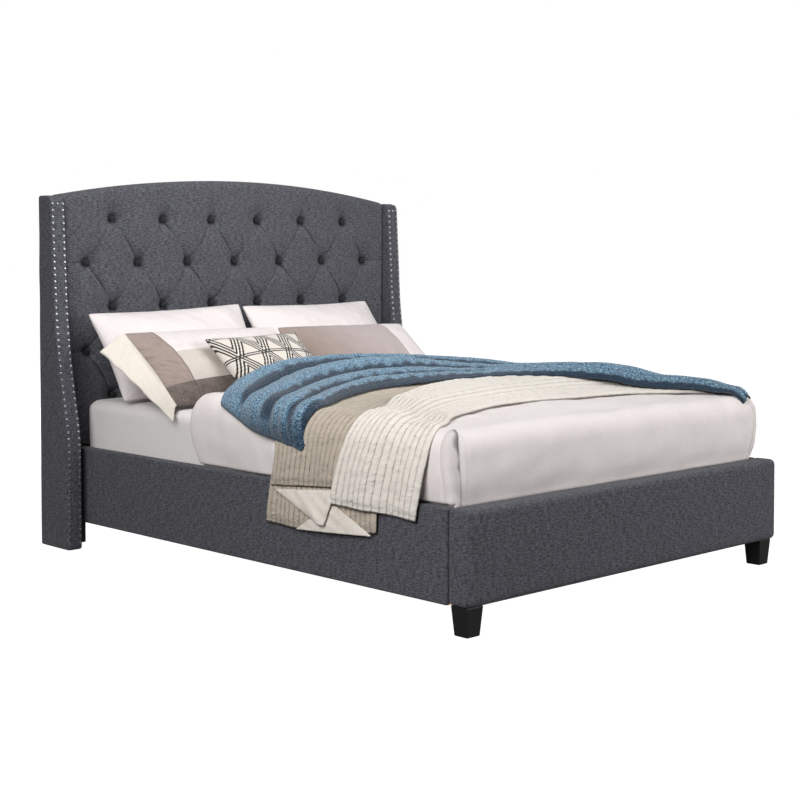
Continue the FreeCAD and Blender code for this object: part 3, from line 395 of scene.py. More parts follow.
def linen_finish(name, colours, tufted=False):
    """Heathered linen: dark and light threads with short slubs both ways, and warm flecks.

    On the tufted pad, the UV map named seam holds the distances to the nearest crease and to the nearest
    button: each crease is a thin line of painted shade, and the linen gets painted shade down in each tuft.
    """
    finish = Finish(name, 0.92, Sheen_Weight=0.1, Sheen_Roughness=0.5, Specular_IOR_Level=0.2)
    across, up = finish.place()
    grid, weft, warp = weave(finish, across, up, 0.0034, 0.0036, 5)
    fleck = finish.noise(finish.vector(across, up), 520.0, 2.0, 0.7)
    light = finish.mix(weft.step(0.36, 0.66), shade(colours.linen, 0.5), shade(colours.linen, 1.55))
    light = finish.mix(warp.step(0.5, 0.66) * 0.45, light, shade(colours.linen, 1.6))
    light = finish.mix(warp.step(0.5, 0.34) * 0.45, light, shade(colours.linen, 0.4))
    tone = finish.mix(fleck.step(0.5, 0.66) * 0.4, light, colours.linen_fleck)
    tone = finish.mix(fleck.step(0.48, 0.32) * 0.4, tone, shade(colours.linen, 0.4))
    height = grid * 0.35 + weft + warp + fleck * 0.6
    normal = finish.bump(height, 0.0012, 0.8)
    if tufted:
        crease, button = finish.place("seam")
        # Painted shade: a thin dark line along each crease, and darker linen down in the pit round each
        # button.
        line = crease.step(0.0030, 0.0010)
        pit = button.step(0.034, 0.010)
        tone = finish.mix(line * 0.75, tone, shade(colours.linen, 0.12))
        tone = finish.mix(pit * 0.72, tone, shade(colours.linen, 0.10))
        normal = finish.bump(crease.step(0.0, 0.010), 0.003, 1.0, normal)
    return finish.finish(tone, normal)


def cotton_finish(name, colour, shadow, thread, texture=0.35, painted_crease_shade=False):
    """Smooth cotton: a pale colour with a faint weave, and cloudy patches of painted crease shade. With
    painted_crease_shade, a dark line of painted shade lies where its UV map named seam, the distance to the
    crease, is small."""
    finish = Finish(name, 0.85, Sheen_Weight=0.15, Sheen_Roughness=0.4, Specular_IOR_Level=0.25)
    across, up = finish.place()
    grid, weft, warp = weave(finish, across, up, thread, 0.003)
    cloud = finish.noise(finish.spot(), 7.0, 4.0, 0.55)
    streak = (weft + warp).step(0.7, 1.3)
    tone = finish.mix(streak * texture, colour, shadow)
    # Painted shade: cloudy patches of darker cotton stand in for the shade of creases.
    tone = finish.mix(cloud.step(0.45, 0.75) * texture, tone, shadow)
    if painted_crease_shade:
        # Painted shade: a dark line along the duvet's pleat crease, with a wider, fainter painted shade round
        # it.
        near = finish.place("seam")[0] + (cloud - 0.5) * 0.006
        tone = finish.mix(near.step(0.011, 0.005) * 0.9, tone, shade(shadow, 0.10))
        tone = finish.mix(near.step(0.05, 0.0) * 0.35, tone, shade(shadow, 0.5))
    crumple = finish.noise(finish.spot(), 26.0, 3.0, 0.5, 0.6)
    normal = finish.bump(crumple, 0.0022, 0.35)
    return finish.finish(tone, finish.bump(grid * 0.4 + weft + warp, 0.0003, 0.5, normal))


def quilting_finish(name, colour, valley_shade_and_threads, pitch):
    """Channel quilting: pale crowns, painted shade down in the stitched valleys and in the hollows of its
    puckers, and wrinkles that cross the channels.
    """
    finish = Finish(name, 0.88, Sheen_Weight=0.12, Sheen_Roughness=0.4, Specular_IOR_Level=0.2)
    across, up = finish.place()
    wave = abs((up * (HALF_TURN / pitch)).math("SINE"))
    pucker = finish.noise(finish.vector(across * 70.0, up * 26.0), 1.0, 3.0, 0.6, 1.2)
    grid, weft, warp = weave(finish, across, up, 0.0016, 0.0022)
    # Painted shade: darker in the hollows of the puckers and, more strongly, down in the stitched valleys
    # between channels; the threads' darker tone uses the same colour.
    painted_pucker_shade = finish.mix(pucker.step(0.55, 0.35) * 0.45, colour, valley_shade_and_threads)
    threads = finish.mix((weft + warp).step(0.75, 1.25) * 0.2, painted_pucker_shade, valley_shade_and_threads)
    tone = finish.mix(wave.step(0.55, 0.05) * 0.6, threads, shade(valley_shade_and_threads, 0.62))
    rough = finish.bump(wave ** 0.6 * 0.7 + pucker * (1.3 - wave), 0.010, 0.9)
    return finish.finish(tone, finish.bump(grid * 0.3 + weft, 0.0004, 0.5, rough))


def knit_finish(name, light, dark):
    """Chunky heathered knit: rows of loops with light and dark flecks, and painted shade in the hollows of
    its folds and down the side where it hangs.

    The UV map named fold holds how high in its fold a point is, and how far down the side the cloth hangs,
    both from 0 to 1.
    """
    finish = Finish(name, 0.95, Sheen_Weight=0.25, Sheen_Roughness=0.6, Specular_IOR_Level=0.15)
    across, up = finish.place()
    rise, hang = finish.place("fold")
    loops = finish.node("ShaderNodeTexVoronoi", {"feature": "F1"}, {
        "Vector": finish.vector(across * 0.8, up), "Scale": 190.0, "Randomness": 0.8})
    fleck = finish.noise(finish.vector(across * 0.7, up), 230.0, 2.0, 0.7)
    rib = (up * (TURN / 0.014)).math("SINE")
    tone = finish.mix(fleck.step(0.38, 0.62), dark, light)
    tone = finish.mix(loops.step(0.3, 0.8) * 0.7, tone, shade(dark, 0.4))
    # Painted shade: darker low on each fold's climb, and darker the further the cloth hangs down the side.
    painted_fold_and_hang_shade = (rise.step(1.0, 0.1) * 0.94).math("MAXIMUM", hang * 0.80)
    tone = finish.mix(painted_fold_and_hang_shade, tone, shade(dark, 0.24))
    height = (1.0 - loops) + rib * 0.12 + fleck * 0.5
    return finish.finish(tone, finish.bump(height, 0.004, 0.9))


def timber_finish(name, light, dark, stretch, scale=9.0):
    """Sawn wood: noise drawn out along the board, as grain, over a slow change of tone."""
    finish = Finish(name, 0.7, Specular_IOR_Level=0.3)
    grain_space = finish.node("ShaderNodeMapping", None, {"Vector": finish.spot(), "Scale": stretch})
    grain = finish.noise(grain_space, scale, 6.0, 0.65, 0.6)
    broad = finish.noise(grain_space, scale / 6, 2.0)
    tone = finish.mix(grain.step(0.35, 0.68), light, dark)
    tone = finish.mix(broad.step(0.35, 0.7) * 0.35, tone, shade(dark, 0.8))
    return finish.finish(tone, finish.bump(grain, 0.0008, 0.4), grain * 0.25 + 0.5)


def metal_finish(name, colour, roughness):
    """Plated steel: fine noise in its gloss and height."""
    finish = Finish(name, roughness, Metallic=1.0)
    pits = finish.noise(finish.spot(), 900.0, 3.0)
    tone = finish.mix(pits.step(0.4, 0.7) * 0.35, colour, shade(colour, 0.7))
    return finish.finish(tone, finish.bump(pits, 0.0002, 0.3), pits * 0.25 + (roughness - 0.1))


def plain_finish(name, colour, roughness, scale=240.0, depth=0.0004):
    """Moulded or painted: one colour, broken by fine noise in tone and height."""
    finish = Finish(name, roughness, Specular_IOR_Level=0.4)
    grain = finish.noise(finish.spot(), scale, 3.0, 0.6)
    tone = finish.mix(grain.step(0.35, 0.7) * 0.4, colour, shade(colour, 0.7))
    return finish.finish(tone, finish.bump(grain, depth, 0.4), grain * 0.2 + (roughness - 0.1))


# ---- sizes and colours -------------------------------------------------------------------------------------

def length(name, description, default):
    return FloatProperty(name=name, description=description, default=default, subtype="DISTANCE",
                         unit="LENGTH")


def colour(name, description, default):
    """A colour, given as red, green and blue from 0 to 255."""
    linear = [((part / 255 + 0.055) / 1.055) ** 2.4 for part in default]
    return FloatVectorProperty(name=name, description=description, default=linear, subtype="COLOR", size=3,
                               min=0, max=1)


class BedSizes(bpy.types.PropertyGroup):
    """Sizes of the bed's upholstery and bedding."""
    peak: length("Arch peak", "Top of the headboard's arch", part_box("headboard_cover")[1].z)
    arch_rise: length("Arch rise", "Drop of the arch from its middle to its ends", 0.076)
    pad_edge: length("Pad edge", "Rounding of the tufted pad's edge", 0.02)
    loft: length("Pad loft", "How far the pad stands out between its buttons", 0.007)
    button_pitch: length("Button pitch", "Distance between buttons in a row", 0.2466)
    row_pitch: length("Row pitch", "Distance between rows of buttons", 0.1755)
    top_row_drop: length("Top row drop", "Drop from the arch's peak to the top row of buttons", 0.166)
    tuft_depth: length("Tuft depth", "Depth of a tuft at its button", 0.032)
    button_radius: length("Button radius", "Radius of a covered button", 0.012)
    wing_foot: length("Wing foot depth", "Depth of a wing at the floor", 0.198)
    rail_edge: length("Rail edge", "Edge rounding of the side rails", 0.009)
    foot_edge: length("Footboard edge", "Edge rounding of the footboard", 0.02)
    foot_end: length("Foot end", "Width of a foot at the floor", 0.055)
    duvet_loft: length("Duvet loft", "Thickness of the duvet", 0.032)
    beige_channel: length("Beige channel", "Distance between the beige quilt's seams", 0.025)
    ivory_channel: length("Ivory channel", "Distance between the ivory quilt's seams", 0.03)
    throw_thickness: length("Throw thickness", "Thickness of the knitted throw", 0.012)
    knit_fold: length("Throw fold", "Height of the throw's largest fold", 0.056)


class BedColours(bpy.types.PropertyGroup):
    """Colours of the bed's cloth, wood and metal."""
    linen: colour("Linen", "Grey linen of the frame", (82, 83, 90))
    linen_fleck: colour("Linen fleck", "Warm thread in the linen", (104, 101, 101))
    # Painted shade: the button linen is a darker copy of the grey linen, standing in for the shade the
    # buttons sit in.
    button: colour("Button", "Linen over the buttons, which sit in shade", (40, 39, 44))
    nail: colour("Nail", "Nail heads", (190, 192, 198))
    sheet: colour("Sheet", "Fitted sheet", (236, 231, 229))
    duvet: colour("Duvet", "Duvet cover", (240, 232, 230))
    pillow: colour("Pillow", "Back pillows", (232, 224, 223))
    flange: colour("Flange", "Cream linen of the sham's flange", (226, 218, 208))
    taupe: colour("Taupe", "Taupe bands of the left sham", (156, 139, 131))
    greige: colour("Greige", "Lower centre panel of the left sham", (206, 196, 188))
    heather: colour("Heather", "Heathered part of the right sham", (178, 166, 166))
    beige: colour("Beige", "Beige quilt", (194, 182, 167))
    ivory: colour("Ivory", "Ivory quilt", (238, 231, 222))
    throw_light: colour("Throw light", "Light yarn of the throw", (164, 204, 224))
    throw_dark: colour("Throw dark", "Dark yarn of the throw", (48, 88, 126))
    wood: colour("Feet", "Black finish of the feet", (30, 29, 28))
    pine: colour("Pine", "Sawn pine", (214, 180, 132))


def sizes():
    return bpy.context.scene.bed_sizes


def colours():
    return bpy.context.scene.bed_colours


finishes = {}


def finish_of(key):
    """The material with this key, made the first time that it is asked for."""
    if key not in finishes:
        shades, size = colours(), sizes()
        pine = shades.pine
        make, *details = {
            "linen": (linen_finish, "grey_linen", shades),
            "tufted": (linen_finish, "tufted_linen", shades, True),
            # painted shade: the button linen's colour is darkened for the shade that the buttons sit in
            "button": (cotton_finish, "button_linen", shades.button, shade(shades.button, 0.6), 0.002, 0.6),
            "nail": (metal_finish, "nail_steel", shades.nail, 0.28),
            "sheet": (cotton_finish, "sheet_cotton", shades.sheet, shade(shades.sheet, 0.88), 0.0012, 0.2),
            "duvet": (cotton_finish, "duvet_cotton", shades.duvet, shade(shades.duvet, 0.84),
                      0.0016, 0.35, True),
            "pillow": (cotton_finish, "pillow_cotton", shades.pillow, shade(shades.pillow, 0.86),
                       0.0014, 0.3),
            # the second colour of each quilting is painted valley shade, also used for the threads' darker
            # tone
            "beige": (quilting_finish, "beige_quilting", shades.beige, shade(shades.beige, 0.72),
                      size.beige_channel),
            "ivory": (quilting_finish, "ivory_quilting", shades.ivory, shade(shades.ivory, 0.8),
                      size.ivory_channel),
            "lining": (cotton_finish, "quilt_lining", shades.ivory, shade(shades.beige, 0.9), 0.0014, 0.3),
            "throw": (knit_finish, "blue_knit", shades.throw_light, shades.throw_dark),
            "sham_left": (left_sham_finish, shades),
            "sham_right": (right_sham_finish, shades),
            "accent": (striped_finish, shades),
            "wood": (plain_finish, "black_wood", shades.wood, 0.45, 60.0, 0.0006),
            "pine": (timber_finish, "pine", pine, shade(pine, 0.55), (1.0, 12.0, 12.0)),
            "pine_long": (timber_finish, "pine_long", pine, shade(pine, 0.55), (12.0, 1.0, 12.0)),
            "pine_tall": (timber_finish, "pine_tall", pine, shade(pine, 0.55), (12.0, 12.0, 1.0)),
            "plywood": (timber_finish, "plywood", shade(pine, 0.9), shade(pine, 0.6), (2.0, 6.0, 1.0), 14.0),
            "foam": (plain_finish, "foam", (0.75, 0.68, 0.45), 0.95, 500.0, 0.002),
            "dust_cloth": (cotton_finish, "dust_cloth", (0.028, 0.028, 0.03), (0.014, 0.014, 0.015), 0.002),
            "zinc": (metal_finish, "zinc_steel", (0.62, 0.63, 0.66), 0.38),
            "black_steel": (metal_finish, "black_steel", (0.04, 0.04, 0.042), 0.45),
            "plastic": (plain_finish, "black_plastic", (0.02, 0.02, 0.021), 0.5),
        }[key]
        finishes[key] = make(*details)
    return finishes[key]


# ---- the tufted headboard ----------------------------------------------------------------------------------

def arch_drop(across, rise):
    """How far the arch lies under its peak: the sagitta of a circle through the peak and both ends."""
    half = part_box("headboard_cover")[1].x
    radius = (half ** 2 + rise ** 2) / (2 * rise)
    return radius - np.sqrt(radius ** 2 - across ** 2)


def button_places():
    """Centres of the buttons, across and up: rows of six and seven in turn, half a pitch apart."""
    size = sizes()
    top = size.peak - size.top_row_drop
    return [((column - (5 + row % 2) / 2) * size.button_pitch, top - row * size.row_pitch, row)
            for row in range(5) for column in range(6 + row % 2)]


def seam_lines():
    """The creases, as pairs of ends: from each button to its neighbours a row lower, and from the outer
    buttons straight to the pad's edge."""
    size = sizes()
    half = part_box("headboard_cover")[1].x
    places = button_places()
    lines = []
    for across, up, row in places:
        for side in (LEFT, RIGHT):
            lower = across + side * size.button_pitch / 2
            if abs(lower) < half:
                lines.append(((across, up), (lower, up - size.row_pitch)))
        if row == 0:
            lines.append(((across, up), (across, size.peak)))
        if row % 2 and abs(across) > half - size.button_pitch:
            lines.append(((across, up), (math.copysign(half, across), up)))
    return lines


def tufting(across, up):
    """Depth of the pad's face, and the distances to the nearest crease and the nearest button.

    A funnel at each button is a narrow pit and a wide dish, which fade with the distance from it. A crease
    is a valley, deepest at its ends, by the distance to the nearest point of its line; those that fall to the
    right are the deeper ones.
    """
    size = sizes()
    depth = np.zeros_like(across)
    button = np.full_like(across, 0.2)
    for centre, height, _ in button_places():
        reach = np.hypot(across - centre, up - height)
        button = np.minimum(button, reach)
        pit = size.tuft_depth * 0.66 / (1 + (reach / 0.024) ** 2.4)
        depth += pit + size.tuft_depth * 0.34 * bell(reach, 0.056)
    crease = np.full_like(across, 0.05)
    for (x0, z0), (x1, z1) in seam_lines():
        run = math.hypot(x1 - x0, z1 - z0)
        share = ((across - x0) * (x1 - x0) + (up - z0) * (z1 - z0)) / run ** 2
        wave = 0.004 * np.sin(share * 7 + x0 * 40)
        share = np.clip(share, 0, 1)
        reach = np.hypot(across - x0 - share * (x1 - x0), up - z0 - share * (z1 - z0)) + wave * 0.3
        ends = np.exp(-share * run / 0.05) + np.exp(-(1 - share) * run / 0.06) * (z1 < z0)
        strength = 0.3 + 0.7 * np.clip(ends, 0, 1)
        main = x1 > x0 and z1 < z0
        depth += strength * (0.0050 if main else 0.0032) * bell(reach, 0.013)
        crease = np.minimum(crease, reach + (0 if main else 0.0016))
    return depth, crease, button


def tufted_pad():
    """The headboard's pad: a height field over a rectangle with an arched top, closed round to the back.

    The face lies at the pad's front, less the loft, plus the tufting and a quarter round at every edge.
    """
    size = sizes()
    low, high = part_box("headboard_cover")
    edge = size.pad_edge
    columns = spread(low.x, high.x, edge, 430)
    shares = spread(0.0, 1.0, 0.02, 262)
    counts = [len(columns) - 1, 3, len(shares) - 1]
    points, quads = box_skin(counts, (1, True))
    back = rim_of(points, counts, (1, True))
    across = columns[points[:, 0]]
    top = size.peak - arch_drop(across, size.arch_rise)
    up = low.z + shares[points[:, 2]] * (top - low.z)
    fall = 0
    for gap, radius in ((high.x - np.abs(across), edge * 0.7), (top - up, edge), (up - low.z, edge * 0.7)):
        near = np.clip(radius - gap, 0, radius)
        fall = fall + radius - np.sqrt(radius ** 2 - near ** 2)
    inside = ease(np.minimum(high.x - np.abs(across), top - up), 0.0, 0.03)
    depth, crease, button = tufting(across, up)
    face = low.y - size.loft * inside + depth * inside + np.clip(fall, 0, 0.03)
    face = np.minimum(face + 0.0006 * ripple(3, 0.09, across, up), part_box("headboard_panel")[0].y - 0.001)
    y = face + (high.y - 0.001 - face) * points[:, 1] / counts[1]
    # The UV map named seam feeds the tufted linen's painted shade along the creases and in the tufts.
    crease = np.where(points[:, 1] == 0, crease, 0.05)
    pad = piece("headboard_tufted_linen", np.stack([across, y, up], axis=1), [quads, back],
                finish_of("tufted"), slot="grey_linen", takes=("headboard_foam", "headboard_cover"),
                layouts={"seam": np.stack([crease, button], axis=1)}, crease=60)


def covered_buttons():
    """Domes on short shanks: one profile turned about each button's axis, all in one mesh."""
    size = sizes()
    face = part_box("headboard_cover")[0].y + size.tuft_depth - 0.018
    turns, rings = 18, 6
    swing = np.arange(turns) * TURN / turns
    rise = np.linspace(0, QUARTER_TURN, rings)
    radius = np.concatenate([[0.004, 0.7 * size.button_radius], size.button_radius * np.cos(rise)[:-1]])
    height = np.concatenate([[0.012, 0.004], -0.006 * np.sin(rise)[:-1]])
    ring = np.stack([radius[:, None] * np.cos(swing), np.repeat(height[:, None], turns, axis=1),
                     radius[:, None] * np.sin(swing)], axis=2).reshape(-1, 3)
    ring = np.concatenate([ring, [[0, -0.006, 0], [0, 0.012, 0]]])
    rows = len(radius)
    number = np.arange(rows * turns).reshape(rows, turns)
    after = np.roll(number, -1, axis=1)
    sides = np.stack([number[:-1], number[1:], after[1:], after[:-1]], axis=2).reshape(-1, 4)
    front = np.stack([number[-1], np.full(turns, rows * turns), after[-1]], axis=1)
    rear = np.stack([after[0], np.full(turns, rows * turns + 1), number[0]], axis=1)
    places = np.array([(across, face, up) for across, up, _ in button_places()])
    points = (places[:, None, :] + ring[None]).reshape(-1, 3)
    shift = (np.arange(len(places)) * len(ring))[:, None, None]
    sets = [(faces[None] + shift).reshape(-1, faces.shape[1]) for faces in (sides, front, rear)]
    piece("covered_buttons", points, sets, finish_of("button"), slot="grey_linen", takes=("tufting_buttons",))


class MakeHeadboard(bpy.types.Operator):
    """Make the tufted pad and its covered buttons"""
    bl_idname = "bed.make_headboard"
    bl_label = "Headboard"

    def execute(self, context):
        tufted_pad()
        covered_buttons()
        return {"FINISHED"}


# ---- wings, rails, footboard and feet ----------------------------------------------------------------------

def smooth_ramp(value, width):
    """Nil before the bend, the value after it, and a parabola across its width."""
    bend = (value + width) ** 2 / (4 * width)
    return np.where(value < -width, 0, np.where(value > width, value, bend))


def wing_depth(up):
    """Depth of a wing at a height: it narrows over a concave flare, then tapers gently to the top corner."""
    lean = -0.2133 * smooth_ramp(up - 0.425, 0.095) + (0.2133 - 0.0534) * smooth_ramp(up - 0.8, 0.196)
    corner = np.clip(up - 1.332, 0, 0.0299)
    return sizes().wing_foot + lean - (0.03 - np.sqrt(0.03 ** 2 - corner ** 2))


def wing(side, name):
    """A wing: a soft box whose front follows the wing's depth, slightly full between its rows of nails."""
    low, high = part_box("wing_cover_" + name)
    radius = 0.009
    across = spread(low.x, high.x, radius, 8)
    heights = spread(low.z, high.z, radius, 90)
    shift = np.concatenate([radius * EDGE_STEPS, radius * np.linspace(1, -1, 9)])
    shift = np.concatenate([shift, -shift[2::-1]])
    share = np.concatenate([np.zeros(3), np.linspace(0, 1, 9), np.ones(3)])
    points, quads = box_skin([len(across) - 1, len(share) - 1, len(heights) - 1])
    x, z = across[points[:, 0]], heights[points[:, 2]]
    front = high.y - wing_depth(z)
    y = front + shift[points[:, 1]] + share[points[:, 1]] * (high.y - front)
    limits = np.stack([np.full_like(x, low.x), front, np.full_like(x, low.z)], axis=1)
    shape = soften(np.stack([x, y, z], axis=1), limits, high, radius)
    middle = (low.x + high.x) / 2
    full = bell(shape[:, 0] - middle, 0.016) * bell(y - front, 0.006)
    shape[:, 1] -= 0.0022 * full * ease(z, 0.0, 0.05)
    outer = (shape[:, 0] - middle) * side > 0.02
    shape[:, 0] += np.where(outer, side * 0.0008 * ripple(11 + side, 0.25, shape[:, 1], shape[:, 2]), 0)
    piece("wing_linen_" + name, shape, quads, finish_of("linen"), slot="grey_linen",
          takes=("wing_cover_" + name,))


def upholstered(name, node, radius, counts, seed, fullness=0.0):
    """A soft box over a node's box, a little wavy and full on its faces."""
    low, high = (np.array(corner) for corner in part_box(node))
    shape, quads = soft_box(low, high, radius, counts)
    middle, half = (low + high) / 2, (high - low) / 2
    depth = int(half.argmin())
    rest = [axis for axis in range(3) if axis != depth]
    share = (shape - middle) / half
    crown = np.clip(1 - share[:, rest[0]] ** 4, 0, 1) * np.clip(1 - share[:, rest[1]] ** 4, 0, 1)
    wave = 0.0007 * ripple(seed, 0.16, shape[:, rest[0]], shape[:, rest[1]])
    shape[:, depth] += np.sign(share[:, depth]) * crown * (fullness + wave) * (np.abs(share[:, depth]) > 0.6)
    return piece(name, shape, quads, finish_of("linen"), slot="grey_linen", takes=(node,))


class MakeFrameLinen(bpy.types.Operator):
    """Make the linen of the wings, side rails, footboard and headboard legs"""
    bl_idname = "bed.make_frame_linen"
    bl_label = "Wings, rails and footboard"

    def execute(self, context):
        size = sizes()
        for side, name in SIDES:
            wing(side, name)
            upholstered("rail_linen_" + name, "rail_cover_" + name, size.rail_edge, (4, 120, 20), 20 + side)
            upholstered("leg_linen_" + name, "leg_sleeve_" + name, 0.004, (6, 5, 14), 30 + side)
        upholstered("footboard_linen", "footboard_cover", size.foot_edge, (110, 5, 20), 40, 0.0016)
        return {"FINISHED"}


class MakeFeet(bpy.types.Operator):
    """Make the tapered black feet"""
    bl_idname = "bed.make_feet"
    bl_label = "Feet"

    def execute(self, context):
        for side, name in SIDES:
            low, high = (np.array(corner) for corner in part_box("foot_" + name))
            shape, quads = soft_box(low, high, 0.003, (8, 8, 12))
            centre = (low + high) / 2
            taper = sizes().foot_end / (high[0] - low[0])
            rise = (shape[:, 2:] - low[2]) / (high[2] - low[2])
            shape[:, :2] = centre[:2] + (shape[:, :2] - centre[:2]) * (taper + (1 - taper) * rise)
            piece("tapered_foot_" + name, shape, quads, finish_of("wood"), slot="black_wood",
                  takes=("foot_" + name,), crease=50)
        return {"FINISHED"}


class FinishHiddenParts(bpy.types.Operator):
    """Give the boards, slats, beams and hardware their finishes"""
    bl_idname = "bed.finish_hidden_parts"
    bl_label = "Boards and hardware"

    def execute(self, context):
        groups = {
            "pine": "headboard_top_batten headboard_bottom_batten headboard_brace slats footboard_battens",
            "pine_long": "rail_board_left rail_board_right slat_ledger_left slat_ledger_right centre_beam",
            "pine_tall": "headboard_mid_uprights headboard_upright_left headboard_upright_right "
                         "headboard_leg_left headboard_leg_right support_legs wing_core_left wing_core_right",
            "plywood": "headboard_panel footboard_front_board footboard_inner_board",
            "dust_cloth": "headboard_back_cloth",
            "nail": "nailheads_left nailheads_right",
            "zinc": "barrel_nuts wing_bolts rail_bolts foot_hanger_bolts bracket_screws slat_screws "
                    "support_bolts",
            "black_steel": "corner_bracket_left corner_bracket_right beam_hangers",
            "plastic": "leveller_1 leveller_2 leveller_3 floor_glides",
        }
        for key, names in groups.items():
            for name in names.split():
                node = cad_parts[name]
                node.data.materials.clear()
                node.data.materials.append(finish_of(key))
        return {"FINISHED"}


# ---- the mattress and how covers lie on it -----------------------------------------------------------------

COVER_ROUND = 0.065  # radius that the covers turn through at the mattress's edges
COVER_HALF = 0.7975  # half their width
COVER_FOOT = -1.022  # where they hang at the foot
COVER_TOP = 0.606  # height of the duvet's top
FLAT_HALF = COVER_HALF - COVER_ROUND
FLAT_FOOT = COVER_FOOT + COVER_ROUND


def cover_top(x, y):
    """Height of the duvet's top: slightly crowned, puffed up at its head end, and softly uneven."""
    crown = 0.012 * (1 - np.clip(np.abs(x) / COVER_HALF, 0, 1) ** 2)
    puff = 0.038 * bell(y - 0.19, 0.12)
    return COVER_TOP + crown + puff + 0.004 * ripple(5, 0.5, x, y)


def lie(across, along, lift, flare=0.0):
    """Where a point of cloth lies: across and along are measured on the cloth, lift is its height over the
    duvet, and flare is how much further out it hangs than it lies.

    Past the flat top, the cloth turns a quarter round and hangs, and its height no longer follows the top.
    In a corner the drop is the larger of the two overhangs, and their ratio gives the direction round it.
    """
    over_x = np.clip(np.abs(across) - FLAT_HALF, 0, None)
    over_y = np.clip(FLAT_FOOT - along, 0, None)
    drop = np.maximum(over_x, over_y)
    heading = np.arctan2(over_y, np.maximum(over_x, 1e-9))
    turn = np.clip(drop / COVER_ROUND, 0, QUARTER_TURN)
    hang = np.clip(drop - COVER_ROUND * QUARTER_TURN, 0, None)
    out = (COVER_ROUND + lift + flare * ease(drop, 0.0, 0.2)) * np.sin(turn)
    x = np.sign(across) * (np.minimum(np.abs(across), FLAT_HALF) + out * np.cos(heading))
    y = np.maximum(along, FLAT_FOOT) - out * np.sin(heading)
    top = cover_top(np.minimum(np.abs(x), FLAT_HALF) * np.sign(x), np.maximum(y, FLAT_FOOT))
    top = COVER_TOP + (top - COVER_TOP) * (1 - ease(drop, 0.02, 0.16))
    return np.stack([x, y, top - COVER_ROUND + (COVER_ROUND + lift) * np.cos(turn) - hang], axis=-1)


def reach_to(height):
    """How far across a cloth reaches when its hem hangs at a height."""
    return FLAT_HALF + COVER_ROUND * QUARTER_TURN + COVER_TOP - COVER_ROUND - height


def flowing(value, places, heights):
    """A smooth curve through given heights: cubic pieces whose slopes come from the neighbouring knots."""
    places, heights = np.array(places, float), np.array(heights, float)
    slopes = np.gradient(heights, places)
    index = np.clip(np.searchsorted(places, value) - 1, 0, len(places) - 2)
    run = places[index + 1] - places[index]
    share = np.clip((value - places[index]) / run, 0, 1)
    square, cube = share ** 2, share ** 3
    start = (2 * cube - 3 * square + 1) * heights[index] + (cube - 2 * square + share) * run * slopes[index]
    end = (3 * square - 2 * cube) * heights[index + 1] + (cube - square) * run * slopes[index + 1]
    return start + end


class MakeMattress(bpy.types.Operator):
    """Make the mattress in its fitted sheet"""
    bl_idname = "bed.make_mattress"
    bl_label = "Mattress"

    def execute(self, context):
        low, high = (np.array(corner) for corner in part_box("mattress"))
        shape, quads = soft_box(low, high, 0.045, (120, 150, 16))
        side = np.clip((high[2] - shape[:, 2]) / 0.2, 0, 1)
        pull = ripple(50, 0.16, shape[:, 0], shape[:, 1], shape[:, 2] * 0.3)
        outward = shape - (low + high) / 2
        inward = outward / np.maximum(np.abs(outward).max(axis=1, keepdims=True), 1e-6)
        shape[:, :2] -= inward[:, :2] * (0.0015 + 0.0015 * pull * side)[:, None]
        shape[:, 2] -= 0.002 * (1 + ripple(51, 0.3, shape[:, 0], shape[:, 1])) * (side < 0.1)
        mattress = piece("mattress_in_sheet", shape, quads, finish_of("sheet"), "mattress", "mattress_cloth",
                         ("mattress",))
        return {"FINISHED"}


